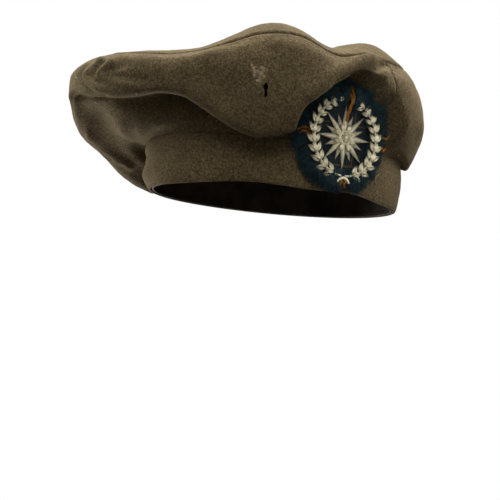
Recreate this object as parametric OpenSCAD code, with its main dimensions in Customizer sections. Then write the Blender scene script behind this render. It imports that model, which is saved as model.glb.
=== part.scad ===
// Full wool bonnet: a round top sewn to a puffed side, a cloth headband and a pinned metal badge.
// Millimetres, +Z up, -Y the front, +X the wearer's left, origin at the middle of the head opening.
// Azimuth is measured from the front towards the wearer's left, in degrees.

/* [Head opening] */
// Inside width of the sweatband
head_w = 170; // [155:1:185]
// Inside length of the sweatband
head_l = 200; // [185:1:215]

/* [Headband] */
// Height of the headband
band_h = 36; // [32:0.5:40]
// Thickness of the headband's doubled cloth
band_t = 3.3; // [2.5:0.1:4.5]
// Height of the sweatband
sweat_h = 27; // [18:0.5:30]
// Thickness of the sweatband's leather
sweat_t = 1.4; // [1:0.1:2]
// Height of the sweatband's lower edge above the rim
sweat_lift = 0.6; // [0.4:0.1:3]

/* [Crown] */
// Height of the crown seam above the rim
crown_h = 92; // [84:1:100]
// Rise of the crown's middle above the crown seam
crown_rise = 6; // [0:0.5:12]
// How far the crown seam stands out past the headband
seam_overhang = 26.5; // [22:0.5:32]
// How far the widest part of the side stands out past the headband
bulge_overhang = 35.5; // [31:0.5:41]
// How far the crown flops towards the wearer's right
flop = 24; // [16:1:30]
// How far the crown pulls towards the front
pull = 9; // [3:1:14]
// How far the side hangs below the headband's top on the wearer's right
droop = 31; // [20:1:32]
// Thickness of the crown's felted cloth
cloth_t = 2.2; // [1.5:0.1:2.6]
// Thickness of the lining
lining_t = 0.7; // [0.4:0.1:1.2]
// Slack between the lining and the cloth
lining_room = 0.9; // [0.7:0.1:1.5]

/* [Seams] */
// Opening between two cloth edges at a seam
seam_gap = 1.2; // [0.9:0.1:2]
// Thickness of the sewing thread
thread_d = 0.5; // [0.3:0.05:0.7]
// Azimuth of the left seam between the two halves of the side
side_seam_az = 90; // [74:1:100]

/* [Badge] */
// Azimuth of the badge
badge_az = 66; // [60:1:70]
// Height of the badge's middle above the rim
badge_z = 41; // [40:0.5:46]
// Diameter of the woven backing
backing_d = 62; // [54:1:66]
// Length of the backing's frayed yarn ends
fray = 8.5; // [4:0.5:9]
// Thickness of the backing
backing_t = 1.8; // [1:0.1:3]
// Diameter over the leaf ring's tips
wreath_d = 67; // [56:1:70]
// Width of the leaf ring
wreath_w = 12; // [8:0.5:16]
// Number of leaves round the ring
leaves = 24; // [16:2:32]
// Diameter over the star's points
star_d = 48; // [44:1:52]
// Diameter across the star's valleys
star_hub_d = 20; // [16:1:24]
// Thickness of the struck metal
metal_t = 1.2; // [0.8:0.1:1.6]

/* [Fixing] */
// Diameter of the split pin
pin_d = 1.5; // [1.2:0.1:2]
// Thickness of the wire loops
loop_wire = 1.2; // [0.9:0.1:1.6]
// Height of the lower loop above the sweatband
loop_clear = 2.8; // [2:0.1:4]
// Length of the pin's tip below the lower loop
pin_tip = 4; // [2:0.5:6]
// Inside radius of the pin's eye
eye_r = 1.5; // [1:0.1:2.5]

/* [Clearance] */
// Gap between pieces that lie on each other
gap = 0.3; // [0.2:0.05:0.4]
// Radial room for the pin in its loops
pin_room = 0.08; // [0.05:0.01:0.1]

/* [Hidden] */

wool = "#6b5d45";
band_wool = "#655840";
leather = "#2e2620";
lining_cloth = "#1d1b1a";
sewing = "#4a4232";
backing_wool = "#14222c";
white_metal = "#c9c4b4";
copper_wire = "#b07a4a";
brass = "#b5954f";

// Mesh fineness: steps round the crown, up the side and across the top, and round the oval
az_steps = 72;
side_steps = 26;
top_steps = 8;
lining_az_steps = 60;
lining_steps = 14;
oval_steps = 96;
thread_sides = 6;

// The headband's outer face is the oval of offset 0
band_out = band_t + gap + sweat_t;
band_mean = (head_w + head_l) / 4 + band_out;
seam_r = band_mean + seam_overhang;
bulge_r = band_mean + bulge_overhang;
edge_z = band_h + thread_d + gap;
bulge_z = band_h + 0.64 * (crown_h - band_h);
sweat_in = band_out;
lining_depth = cloth_t + lining_room;
lining_drop = 2 * lining_depth;

// Depth of a full fold of the worn cloth
fold = 10;
// The folds as [azimuth, spread, share of a full fold]: each is a swell or a dip of the ring it changes
belly_out_waves = [[-80, 46, 2.8], [-105, 24, 0.4]];
belly_z_waves = [[-100, 42, -droop / fold]];
tuck_r_waves = [[45, 45, -1.3], [-5, 35, -1.1], [-68, 25, -0.6], [-100, 40, -0.2], [120, 30, 0.4]];
tuck_z_waves = [[-20, 40, 1.2], [48, 18, -0.4], [-105, 45, -1.8]];
lip_r_waves = [[45, 45, -0.4], [-100, 40, -0.4], [120, 30, 0.2]];
lip_z_waves = [[-30, 38, 1], [30, 20, -1], [-105, 45, -1.4], [70, 16, 0.8]];
bulge_r_waves = [[40, 40, 0.3]];
bulge_z_waves = [[-105, 45, -2], [112, 40, -0.9]];
shoulder_r_waves = [[118, 28, -0.2]];
seam_r_waves = [[-60, 35, 0.5], [-10, 25, -0.4], [115, 25, -0.2]];
seam_z_waves = [[46, 21, 1.6], [66, 9, -0.4], [12, 26, -0.5], [-40, 26, 0.2], [-62, 24, -0.5], [-105, 50, -1.4],
                [93, 26, 1.1], [125, 22, 0.2]];
puff_waves = [[46, 30, 0.9], [90, 24, 0.9], [180, 60, 0.4], [-50, 40, 0.3]];

// Where the rings of the side lie before their folds
belly_out = 4;
belly_rise = 3;
tuck_in = 8;
tuck_rise = 8;
lip_in = 2;
lip_rise = 14;
shoulder_share = 0.55;
shoulder_out = 3;
shoulder_rise = 1;
puff = 2;
puff_reach = 0.45;

// The badge draws the cloth in to the headband's curve over a radius, and lets go over a fade.
// The rise makes the drawn-in patch a little lower than it is wide.
press_margin = 8;
press_r = backing_d / 2 + fray + press_margin;
press_fade = 20;
press_rise = 1.08;
lining_press_r = press_r + press_fade / 2;

// The badge's own frame lies on the headband's outer face
badge_r = oval_r(badge_az, 0);
badge_x = badge_r * sin(badge_az);
badge_y = -badge_r * cos(badge_az);
badge_turn = atan2(badge_x / pow(half_w(0), 2), -badge_y / pow(half_l(0), 2));
star_back = gap + backing_t + gap;
wreath_back = star_back + metal_t;
backing_reach = 16;
fray_count = 60;
fray_share = 0.55;

// The two loops stand evenly above and below the badge's middle
loop_r = pin_d / 2 + pin_room;
loop_out_r = loop_r + loop_wire;
loop_low = sweat_lift + sweat_h + loop_clear + loop_wire / 2 - badge_z;
loop_high = -loop_low;
pin_stand = 1;
pin_depth = sweat_in + pin_stand + pin_d / 2;
pin_low = loop_low - loop_wire / 2 - pin_tip;
eye_mid = loop_high + loop_wire / 2 + gap + eye_r + pin_d;
pin_split = 0.15;

// Height of the sweatband's stitching above its lower edge
sweat_stitch = 2;

function wrap(a) = a - 360 * floor((a + 180) / 360);
function total(v, i = 0) = i < len(v) ? v[i] + total(v, i + 1) : 0;
function unit(v) = v / norm(v);
function waved(base, waves, az) =
    base + fold * total([for (w = waves) w[2] * exp(-pow(wrap(az - w[0]) / w[1], 2))]);
function ramp(x) = let (t = max(0, min(1, x))) t * t * (3 - 2 * t);

function half_w(off) = head_w / 2 + band_out + off;
function half_l(off) = head_l / 2 + band_out + off;
function oval_r(az, off) = 1 / sqrt(pow(sin(az) / half_w(off), 2) + pow(cos(az) / half_l(off), 2));
function oval_pt(az, off, z) = [oval_r(az, off) * sin(az), -oval_r(az, off) * cos(az), z];
function crown_pt(az, r, z) = [r * sin(az) - flop, -r * cos(az) - pull, z];

// A point drawn in towards an offset of the headband's oval, within a reach of the badge's middle
function press(p, floor_off, reach) =
    let (az = atan2(p.x, -p.y), r = norm([p.x, p.y]), base = oval_r(az, 0), off = r - base,
         away = norm([wrap(az - badge_az) * PI / 180 * base, press_rise * (p.z - badge_z)]),
         hold = ramp((reach + press_fade - away) / press_fade),
         kept = off > floor_off ? base + floor_off + (off - floor_off) * (1 - hold) : r)
    [p.x * kept / r, p.y * kept / r, p.z];

// A smooth curve through every point of a list, at share s of its way
function spline(pts, s) =
    let (n = len(pts) - 1, x = min(s * n, n - 0.000001), i = floor(x), t = x - i,
         b = pts[i], c = pts[i + 1],
         a = i > 0 ? pts[i - 1] : 2 * b - c,
         d = i + 2 <= n ? pts[i + 2] : 2 * c - b)
    0.5 * (2 * b + (c - a) * t + (2 * a - 5 * b + 4 * c - d) * t * t + (3 * b - a - 3 * c + d) * t * t * t);

function tuck_pt(az) = crown_pt(az, waved(bulge_r - tuck_in, tuck_r_waves, az),
                                waved(band_h + tuck_rise, tuck_z_waves, az));
function bulge_ring_r(az) = waved(bulge_r, bulge_r_waves, az);
function bulge_ring_z(az) = waved(bulge_z, bulge_z_waves, az);
function seam_ring_r(az) = waved(seam_r, seam_r_waves, az);
function seam_ring_z(az) = waved(crown_h, seam_z_waves, az);
function shoulder_r(az) =
    waved(seam_ring_r(az) + shoulder_share * (bulge_ring_r(az) - seam_ring_r(az)) + shoulder_out,
          shoulder_r_waves, az);
function shoulder_z(az) = seam_ring_z(az) + 0.38 * (bulge_ring_z(az) - seam_ring_z(az)) + shoulder_rise;

// The rings of the side from the headband up to the crown seam, at one azimuth
function side_rings(az) = [
    oval_pt(az, 0, edge_z),
    oval_pt(az, waved(belly_out, belly_out_waves, az), waved(band_h + belly_rise, belly_z_waves, az)),
    tuck_pt(az),
    crown_pt(az, waved(bulge_r - lip_in, lip_r_waves, az), waved(band_h + lip_rise, lip_z_waves, az)),
    crown_pt(az, bulge_ring_r(az), bulge_ring_z(az)),
    crown_pt(az, shoulder_r(az), shoulder_z(az)),
    crown_pt(az, seam_ring_r(az), seam_ring_z(az))];

crown_mid = [-flop, -pull, crown_h + crown_rise];

// The top from the seam inwards, at share t of the way to the middle, which it reaches level
function top_pt(az, t) =
    let (edge = crown_pt(az, seam_ring_r(az), seam_ring_z(az)),
         swell = t < puff_reach ? waved(puff, puff_waves, az) * sin(180 * t / puff_reach) : 0)
    edge * (1 - t) + crown_mid * t + [0, 0, swell + (crown_mid.z - edge.z) * (ramp(t) - t)];

// One run of outer points up the side and over the top
function profile(az) =
    let (rings = side_rings(az))
    concat([for (k = [0:side_steps]) press(spline(rings, k / side_steps), 0, press_r)],
           [for (k = [1:top_steps - 1]) top_pt(az, k / top_steps)]);

// The lining hangs inside the folds, so it skips the belly and the lip
function lining_profile(az) =
    let (rings = side_rings(az), out = [sin(az), -cos(az), 0],
         path = [oval_pt(az, -lining_depth, edge_z + lining_depth),
                 rings[2] + 2 * cloth_t * [0, 0, 1] - 3 * cloth_t * out,
                 rings[4] - 2.5 * lining_depth * out,
                 rings[5] - 1.3 * lining_depth * (out + [0, 0, 1]),
                 rings[6] - lining_depth * (out + [0, 0, 1])],
         drop = [0, 0, lining_drop])
    concat([for (k = [0:lining_steps])
                press(spline(path, k / lining_steps), -lining_depth, lining_press_r)],
           [for (k = [1:top_steps - 1]) let (t = k / top_steps)
            top_pt(az, t) - drop - (1 - t) * lining_depth * out]);

// Points of a profile moved in from the outer face, over the rings first to last.
// At the crown seam each edge stands back by half the seam's opening.
function layer(profiles, first, last, seam, back, depth) =
    [for (k = [first:last])
        let (p = profiles[1], n = len(p) - 1,
             across = profiles[2][k] - profiles[0][k],
             along = p[min(k + 1, n)] - p[max(k - 1, 0)],
             next = k == seam ? (k == last ? p[k - 1] : p[k + 1]) : p[k],
             edge = k == seam ? unit(next - p[k]) * back : [0, 0, 0])
        p[k] + edge - unit(cross(across, along)) * depth];

az_step = 1;
function crown_layer(az, first, last, depth) =
    layer([profile(az - az_step), profile(az), profile(az + az_step)], first, last, side_steps,
          seam_gap / 2, depth);
function lining_layer(az, first, last, depth) =
    layer([lining_profile(az - az_step), lining_profile(az), lining_profile(az + az_step)], first, last,
          lining_steps, seam_gap / 2, depth);

function turns(n) = [for (i = [0:n - 1]) i * 360 / n];
function flat(rows) = [for (row = rows) each row];

// A wall between two nets of points. A closed wall joins its last row to its first,
// and a pole closes the last ring at a pair of middle points.
module wall(outer, inner, closed = false, pole = []) {
    rows = len(outer);
    cols = len(outer[0]);
    half = rows * cols;
    spans = closed ? rows - 1 : rows - 2;
    function o(i, j) = (i % rows) * cols + j;
    function n(i, j) = half + (i % rows) * cols + j;
    m = cols - 1;
    faces = concat(
        flat([for (i = [0:spans], j = [0:m - 1]) [
            [o(i, j), o(i, j + 1), o(i + 1, j + 1)], [o(i, j), o(i + 1, j + 1), o(i + 1, j)],
            [n(i, j), n(i + 1, j + 1), n(i, j + 1)], [n(i, j), n(i + 1, j), n(i + 1, j + 1)]]]),
        flat([for (i = [0:spans]) [
            [o(i, 0), o(i + 1, 0), n(i + 1, 0)], [o(i, 0), n(i + 1, 0), n(i, 0)]]]),
        flat([for (i = [0:spans]) len(pole) > 0
            ? [[o(i, m), 2 * half, o(i + 1, m)], [n(i, m), n(i + 1, m), 2 * half + 1]]
            : [[o(i + 1, m), o(i, m), n(i, m)], [o(i + 1, m), n(i, m), n(i + 1, m)]]]),
        closed ? [] : flat([for (j = [0:m - 1]) let (e = rows - 1) [
            [o(0, j + 1), o(0, j), n(0, j)], [o(0, j + 1), n(0, j), n(0, j + 1)],
            [o(e, j), o(e, j + 1), n(e, j + 1)], [o(e, j), n(e, j + 1), n(e, j)]]]));
    polyhedron(points = concat(flat(outer), flat(inner), pole), faces = faces, convexity = 6);
}

// A thread swept through a list of sections
module sweep(sections, closed = false) {
    rows = len(sections);
    sides = len(sections[0]);
    spans = closed ? rows - 1 : rows - 2;
    function at(i, j) = (i % rows) * sides + j % sides;
    faces = concat(
        flat([for (i = [0:spans], j = [0:sides - 1]) [
            [at(i, j), at(i, j + 1), at(i + 1, j + 1)], [at(i, j), at(i + 1, j + 1), at(i + 1, j)]]]),
        closed ? [] : [[for (j = [sides - 1:-1:0]) j], [for (j = [0:sides - 1]) at(rows - 1, j)]]);
    polyhedron(points = flat(sections), faces = faces, convexity = 4);
}

function thread_section(mid, a, b) =
    [for (i = [0:thread_sides - 1]) let (t = i * 360 / thread_sides)
        mid + thread_d / 2 * (cos(t) * a + sin(t) * b)];

// A ring that follows the head oval between two offsets
module oval_ring(off_out, off_in, low, height) {
    translate([0, 0, low]) linear_extrude(height) difference() {
        polygon([for (az = turns(oval_steps)) let (p = oval_pt(az, off_out, 0)) [p.x, p.y]]);
        polygon([for (az = turns(oval_steps)) let (p = oval_pt(az, off_in, 0)) [p.x, p.y]]);
    }
}

// Local +Z points out of the badge, and local +Y is up
module badge_frame() {
    translate([badge_x, badge_y, badge_z]) rotate([90, 0, badge_turn]) children();
}

// Slits that let the two loops through the cloth
module loop_slits() {
    slit_w = 2 * (loop_out_r + gap);
    slit_h = loop_wire + 2 * gap;
    badge_frame() for (y = [loop_low, loop_high])
        translate([-slit_w / 2, y - slit_h / 2, -pin_depth]) cube([slit_w, slit_h, pin_depth + star_back]);
}

module crown_top() {
    az_list = turns(az_steps);
    last = side_steps + top_steps - 1;
    color(wool) wall([for (az = az_list) crown_layer(az, side_steps, last, 0)],
                     [for (az = az_list) crown_layer(az, side_steps, last, cloth_t)],
                     closed = true, pole = [crown_mid, crown_mid - [0, 0, cloth_t]]);
}

// Half of the side, from one seam to the other
module side_half(az_from) {
    stand = seam_gap / 2 / bulge_r * 180 / PI;
    count = az_steps / 2;
    az_list = [for (i = [0:count]) az_from + stand + i * (180 - 2 * stand) / count];
    color(wool) difference() {
        wall([for (az = az_list) crown_layer(az, 0, side_steps, 0)],
             [for (az = az_list) crown_layer(az, 0, side_steps, cloth_t)]);
        loop_slits();
    }
}

module side_front() { side_half(side_seam_az - 180); }

module side_back() { side_half(side_seam_az); }

module headband() {
    color(band_wool) difference() {
        oval_ring(0, -band_t, 0, band_h);
        loop_slits();
    }
}

module sweatband() {
    color(leather) oval_ring(-band_t - gap, -sweat_in, sweat_lift, sweat_h);
}

module lining_top() {
    az_list = turns(lining_az_steps);
    last = lining_steps + top_steps - 1;
    middle = crown_mid - [0, 0, lining_drop];
    color(lining_cloth) wall([for (az = az_list) lining_layer(az, lining_steps, last, 0)],
                             [for (az = az_list) lining_layer(az, lining_steps, last, lining_t)],
                             closed = true, pole = [middle, middle - [0, 0, lining_t]]);
}

module lining_side() {
    az_list = turns(lining_az_steps);
    color(lining_cloth) difference() {
        wall([for (az = az_list) lining_layer(az, 0, lining_steps, 0)],
             [for (az = az_list) lining_layer(az, 0, lining_steps, lining_t)], closed = true);
        loop_slits();
    }
}

// Thread in the middle of the opening between the top and the side
module crown_seam_thread() {
    color(sewing) sweep([for (az = turns(az_steps))
        let (side = crown_layer(az, side_steps - 1, side_steps, cloth_t / 2)[1],
             top = crown_layer(az, side_steps, side_steps + 1, cloth_t / 2)[0])
        thread_section((side + top) / 2, [sin(az), -cos(az), 0], [0, 0, 1])], closed = true);
}

// Thread lying on the headband's top, behind the edge of the side
module band_seam_thread() {
    color(sewing) oval_ring(-(band_t - thread_d) / 2, -(band_t + thread_d) / 2, band_h + gap / 2,
                             thread_d);
}

// Thread in the opening between the two halves of the side
module side_seam_thread(az) {
    path = crown_layer(az, 1, side_steps - 1, cloth_t / 2);
    end = len(path) - 1;
    round = [cos(az), sin(az), 0];
    color(sewing) sweep([for (k = [0:end])
        let (along = path[min(k + 1, end)] - path[max(k - 1, 0)])
        thread_section(path[k], round, unit(cross(round, along)))]);
}

module left_seam_thread() { side_seam_thread(side_seam_az); }

module right_seam_thread() { side_seam_thread(side_seam_az - 180); }

// Thread that holds the sweatband near the rim
module sweatband_thread() {
    color(sewing) oval_ring(-sweat_in - gap / 2, -sweat_in - gap / 2 - thread_d, sweat_lift + sweat_stitch,
                             thread_d);
}

// A woven disc bent to the headband, with yarn ends frayed all round
module badge_backing() {
    yarn = 360 / fray_count;
    woven_r = backing_d / 2;
    color(backing_wool) difference() {
        intersection() {
            oval_ring(gap + backing_t, gap, badge_z - woven_r - fray, 2 * (woven_r + fray));
            badge_frame() translate([0, 0, -backing_reach]) linear_extrude(2 * backing_reach)
                polygon([for (i = [0:fray_count - 1]) each
                    [for (step = [[0, woven_r], [0, woven_r + fray], [fray_share, woven_r + fray],
                                  [fray_share, woven_r]])
                        step[1] * [cos((i + step[0]) * yarn), sin((i + step[0]) * yarn)]]]);
        }
        loop_slits();
    }
}

// Leaf-edged ring
module badge_wreath() {
    leaf = 360 / leaves;
    tip_r = wreath_d / 2;
    root_r = tip_r - wreath_w / 3;
    inner_tip_r = tip_r - wreath_w;
    inner_root_r = inner_tip_r + wreath_w / 4;
    function leafy(tip, root) = [for (i = [0:leaves - 1]) each
        [tip * [cos(i * leaf), sin(i * leaf)], root * [cos((i + 0.7) * leaf), sin((i + 0.7) * leaf)]]];
    color(white_metal) badge_frame() translate([0, 0, wreath_back]) linear_extrude(metal_t) difference() {
        polygon(leafy(tip_r, root_r));
        polygon(leafy(inner_tip_r, inner_root_r));
    }
}

// Eight-pointed star whose points lie under the leaf ring
module badge_star() {
    points = 8;
    turn = 360 / points;
    color(white_metal) badge_frame() translate([0, 0, star_back]) linear_extrude(metal_t)
        polygon([for (i = [0:points - 1]) each
            [star_d / 2 * [cos(i * turn), sin(i * turn)],
             star_hub_d / 2 * [cos((i + 0.5) * turn), sin((i + 0.5) * turn)]]]);
}

// A wire loop on the back of the star, open downwards for the pin
module lug(y) {
    reach = pin_depth + star_back;
    color(copper_wire) badge_frame() translate([0, y, -pin_depth]) rotate([90, 0, 0])
        linear_extrude(loop_wire, center = true) difference() {
            union() {
                circle(loop_out_r, $fn = 48);
                translate([-loop_out_r, 0]) square([2 * loop_out_r, reach]);
            }
            circle(loop_r, $fn = 48);
            translate([-loop_r, 0]) square([2 * loop_r, reach - loop_wire]);
        }
}

module lug_upper() { lug(loop_high); }

module lug_lower() { lug(loop_low); }

// Two half-round legs that part below an eye
module split_pin() {
    leg = eye_mid - eye_r - pin_d / 2 - pin_low;
    color(brass) badge_frame() translate([0, 0, -pin_depth]) {
        translate([0, eye_mid, 0]) rotate_extrude($fn = 64)
            translate([eye_r + pin_d / 2, 0]) circle(pin_d / 2, $fn = 32);
        difference() {
            translate([0, pin_low, 0]) rotate([-90, 0, 0]) cylinder(h = leg, d = pin_d, $fn = 48);
            translate([-pin_split / 2, pin_low - pin_d, -pin_d])
                cube([pin_split, leg - pin_d, 2 * pin_d]);
        }
    }
}

crown_top();
side_front();
side_back();
headband();
sweatband();
lining_top();
lining_side();
crown_seam_thread();
band_seam_thread();
left_seam_thread();
right_seam_thread();
sweatband_thread();
badge_backing();
badge_wreath();
badge_star();
lug_upper();
lug_lower();
split_pin();
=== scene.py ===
"""Dressed scene of a full wool bonnet that flops over its headband, with a pinned badge.

Cloth is laid out by azimuth, in degrees from the front towards the wearer's left, and by the
share of its way up the side or in to the crown's middle. Lengths are in millimetres until a
mesh is made.
"""

import logging
import math
import random
from dataclasses import dataclass, field
from enum import Enum

import bmesh
import bpy
import numpy as np
from mathutils import Matrix, Vector, kdtree, noise


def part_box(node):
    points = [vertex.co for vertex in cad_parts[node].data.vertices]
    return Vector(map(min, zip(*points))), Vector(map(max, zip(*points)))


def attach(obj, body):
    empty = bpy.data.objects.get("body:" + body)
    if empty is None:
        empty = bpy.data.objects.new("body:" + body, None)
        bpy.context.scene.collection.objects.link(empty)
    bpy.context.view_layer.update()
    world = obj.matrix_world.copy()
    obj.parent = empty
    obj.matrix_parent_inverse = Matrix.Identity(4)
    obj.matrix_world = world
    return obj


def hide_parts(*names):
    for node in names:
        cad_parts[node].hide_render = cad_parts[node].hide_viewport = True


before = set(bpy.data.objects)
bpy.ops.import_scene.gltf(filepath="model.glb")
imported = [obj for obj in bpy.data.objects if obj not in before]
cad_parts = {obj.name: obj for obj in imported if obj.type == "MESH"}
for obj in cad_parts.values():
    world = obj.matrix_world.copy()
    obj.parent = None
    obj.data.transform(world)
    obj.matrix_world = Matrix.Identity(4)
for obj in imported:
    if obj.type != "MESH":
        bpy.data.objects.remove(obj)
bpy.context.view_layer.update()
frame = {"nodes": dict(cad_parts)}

Array = np.ndarray
Material = bpy.types.Material
Mesh = bmesh.types.BMesh
Node = bpy.types.Node
Piece = bpy.types.Object
Tree = bpy.types.NodeTree
Colour = tuple[float, float, float, float]
Pair = tuple[float, float]
Pixels = tuple[Pair, ...]
Grades = tuple[Pair, ...]
Waves = tuple[tuple[float, float, float], ...]

LOG = logging.getLogger("bonnet")
MM = 0.001
BONNET = "bonnet"


class Held(Enum):
    """How a sheet of cloth is held."""

    STRETCHED = "stretched"
    GATHERED = "gathered"
    LAID = "laid"


class Slot(Enum):
    """The record's material slots."""

    CROWN = "crown_wool"
    BAND = "band_wool"
    LEATHER = "sweatband_leather"
    LINING = "lining_cloth"
    THREAD = "sewing_thread"
    PATCH = "backing_wool"
    METAL = "white_metal"
    COPPER = "copper_wire"
    BRASS = "pin_brass"


def linear(code: str) -> Colour:
    """Turn an sRGB hex colour into linear RGBA.

    Args:
        code: The colour as #rrggbb.

    Returns:
        The linear colour, opaque.
    """
    parts = [int(code[i:i + 2], 16) / 255 for i in (1, 3, 5)]
    low = [c / 12.92 if c <= 0.04045 else ((c + 0.055) / 1.055) ** 2.4 for c in parts]
    return (low[0], low[1], low[2], 1.0)


def per_mm(size: float) -> float:
    """Give the texture scale whose features are a size in millimetres across."""
    return 1 / (size * MM)


def join(tree: Tree, node: Node, links: dict, inputs: dict) -> None:
    """Feed a node's inputs.

    Args:
        tree: The node tree.
        node: The node.
        links: Sockets to join, by the name or number of the node's input.
        inputs: Fixed values, by the name or number of the node's input.
    """
    for key, value in inputs.items():
        node.inputs[key].default_value = value
    for key, socket in links.items():
        tree.links.new(socket, node.inputs[key])


def add_node(tree: Tree, kind: str, links: dict | None = None,
             inputs: dict | None = None, stops: tuple = (), **settings) -> Node:
    """Add one node with its settings and links.

    Args:
        tree: The node tree.
        kind: The node's type, without its ShaderNode prefix.
        links: Sockets to join, by the name or number of this node's input.
        inputs: Fixed values, by the name or number of this node's input.
        stops: Places and hex colours of a colour ramp.
        settings: The node's own properties.

    Returns:
        The new node.
    """
    node = tree.nodes.new("ShaderNode" + kind)
    for key, value in settings.items():
        setattr(node, key, value)
    join(tree, node, links or {}, inputs or {})
    for i, (place, code) in enumerate(stops):
        marks = node.color_ramp.elements
        mark = marks[i] if i < 2 else marks.new(place)
        mark.position, mark.color = place, linear(code)
    return node


@dataclass(frozen=True)
class Finish:
    """A material that a piece is made of."""

    name: str

    def make(self) -> Material:
        """Create the material and lay out its nodes.

        Returns:
            The new material.
        """
        material = bpy.data.materials.new(self.name)
        material.use_nodes = True
        tree = material.node_tree
        self.lay(tree, tree.nodes["Principled BSDF"])
        return material

    def lay(self, tree: Tree, shader: Node) -> None:
        """Lay out the nodes that lead to the shader.

        Args:
            tree: The material's nodes.
            shader: The one that they lead to.
        """
        raise NotImplementedError


@dataclass(frozen=True)
class FeltedWool(Finish):
    """Milled wool cloth: matt, with brown fibres of several shades felted into a fuzzy face.

    The nap catches light at a grazing angle, so edges look paler than what faces the eye.
    """

    dark: str
    body: str
    pale: str
    worn: str
    sheen: float = 0.5
    fibre_mm: float = 0.7
    fleck_mm: float = 1.7
    blotch_mm: float = 26.0

    def lay(self, tree: Tree, shader: Node) -> None:
        """Lay out flecks, blotches, wear and nap.

        Args:
            tree: The material's nodes.
            shader: The one that they lead to.
        """
        where = add_node(tree, "TexCoord").outputs["Object"]
        fibre = add_node(tree, "TexNoise", {"Vector": where},
                         {"Scale": per_mm(self.fibre_mm), "Detail": 3.0, "Roughness": 0.7})
        fleck = add_node(tree, "TexNoise", {"Vector": where},
                         {"Scale": per_mm(self.fleck_mm), "Detail": 4.0, "Roughness": 0.65})
        blotch = add_node(tree, "TexNoise", {"Vector": where},
                          {"Scale": per_mm(self.blotch_mm), "Detail": 3.0, "Roughness": 0.55})
        grain = add_node(tree, "Mix", {2: fibre.outputs["Fac"], 3: fleck.outputs["Fac"]}, {0: 0.5})
        tone = add_node(tree, "ValToRGB", {"Fac": grain.outputs[0]},
                        stops=((0.4, self.dark), (0.6, self.pale), (0.5, self.body)))
        cloud = add_node(tree, "ValToRGB", {"Fac": blotch.outputs["Fac"]},
                         stops=((0.3, "#d6d6d6"), (0.7, "#ffffff")))
        mottled = add_node(tree, "Mix", {6: tone.outputs["Color"], 7: cloud.outputs["Color"]},
                           {0: 1.0}, data_type="RGBA", blend_type="MULTIPLY")
        wear = add_node(tree, "Attribute", attribute_name="wear")
        colour = add_node(tree, "Mix", {0: wear.outputs["Fac"], 6: mottled.outputs[2]},
                          {7: linear(self.worn)}, data_type="RGBA")
        bump = add_node(tree, "Bump", {"Height": grain.outputs[0]},
                        {"Strength": 0.75, "Distance": 1.0 * MM})
        join(tree, shader, {"Base Color": colour.outputs[2], "Normal": bump.outputs["Normal"]},
             {"Roughness": 0.95, "Specular IOR Level": 0.05, "Sheen Weight": self.sheen,
              "Sheen Roughness": 0.4, "Sheen Tint": linear(self.worn)})


@dataclass(frozen=True)
class Leather(Finish):
    """Vegetable-tanned leather, skived thin: pebbled grain, polished by wear in darker blotches, paler and
    duller between them.
    """

    dark: str
    pale: str
    grain_mm: float = 1.3
    stain_mm: float = 22.0

    def lay(self, tree: Tree, shader: Node) -> None:
        """Lay out pebbles and stains.

        Args:
            tree: The material's nodes.
            shader: The one that they lead to.
        """
        where = add_node(tree, "TexCoord").outputs["Object"]
        grain = add_node(tree, "TexVoronoi", {"Vector": where}, {"Scale": per_mm(self.grain_mm)},
                         feature="DISTANCE_TO_EDGE")
        stain = add_node(tree, "TexNoise", {"Vector": where},
                         {"Scale": per_mm(self.stain_mm), "Detail": 5.0, "Roughness": 0.6})
        tone = add_node(tree, "ValToRGB", {"Fac": stain.outputs["Fac"]},
                        stops=((0.35, self.dark), (0.7, self.pale)))
        bump = add_node(tree, "Bump", {"Height": grain.outputs["Distance"]},
                        {"Strength": 0.5, "Distance": 0.25 * MM})
        rough = add_node(tree, "MapRange", {"Value": stain.outputs["Fac"]},
                         {"To Min": 0.42, "To Max": 0.7})
        join(tree, shader, {"Base Color": tone.outputs["Color"], "Roughness": rough.outputs["Result"],
                            "Normal": bump.outputs["Normal"]}, {})


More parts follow.
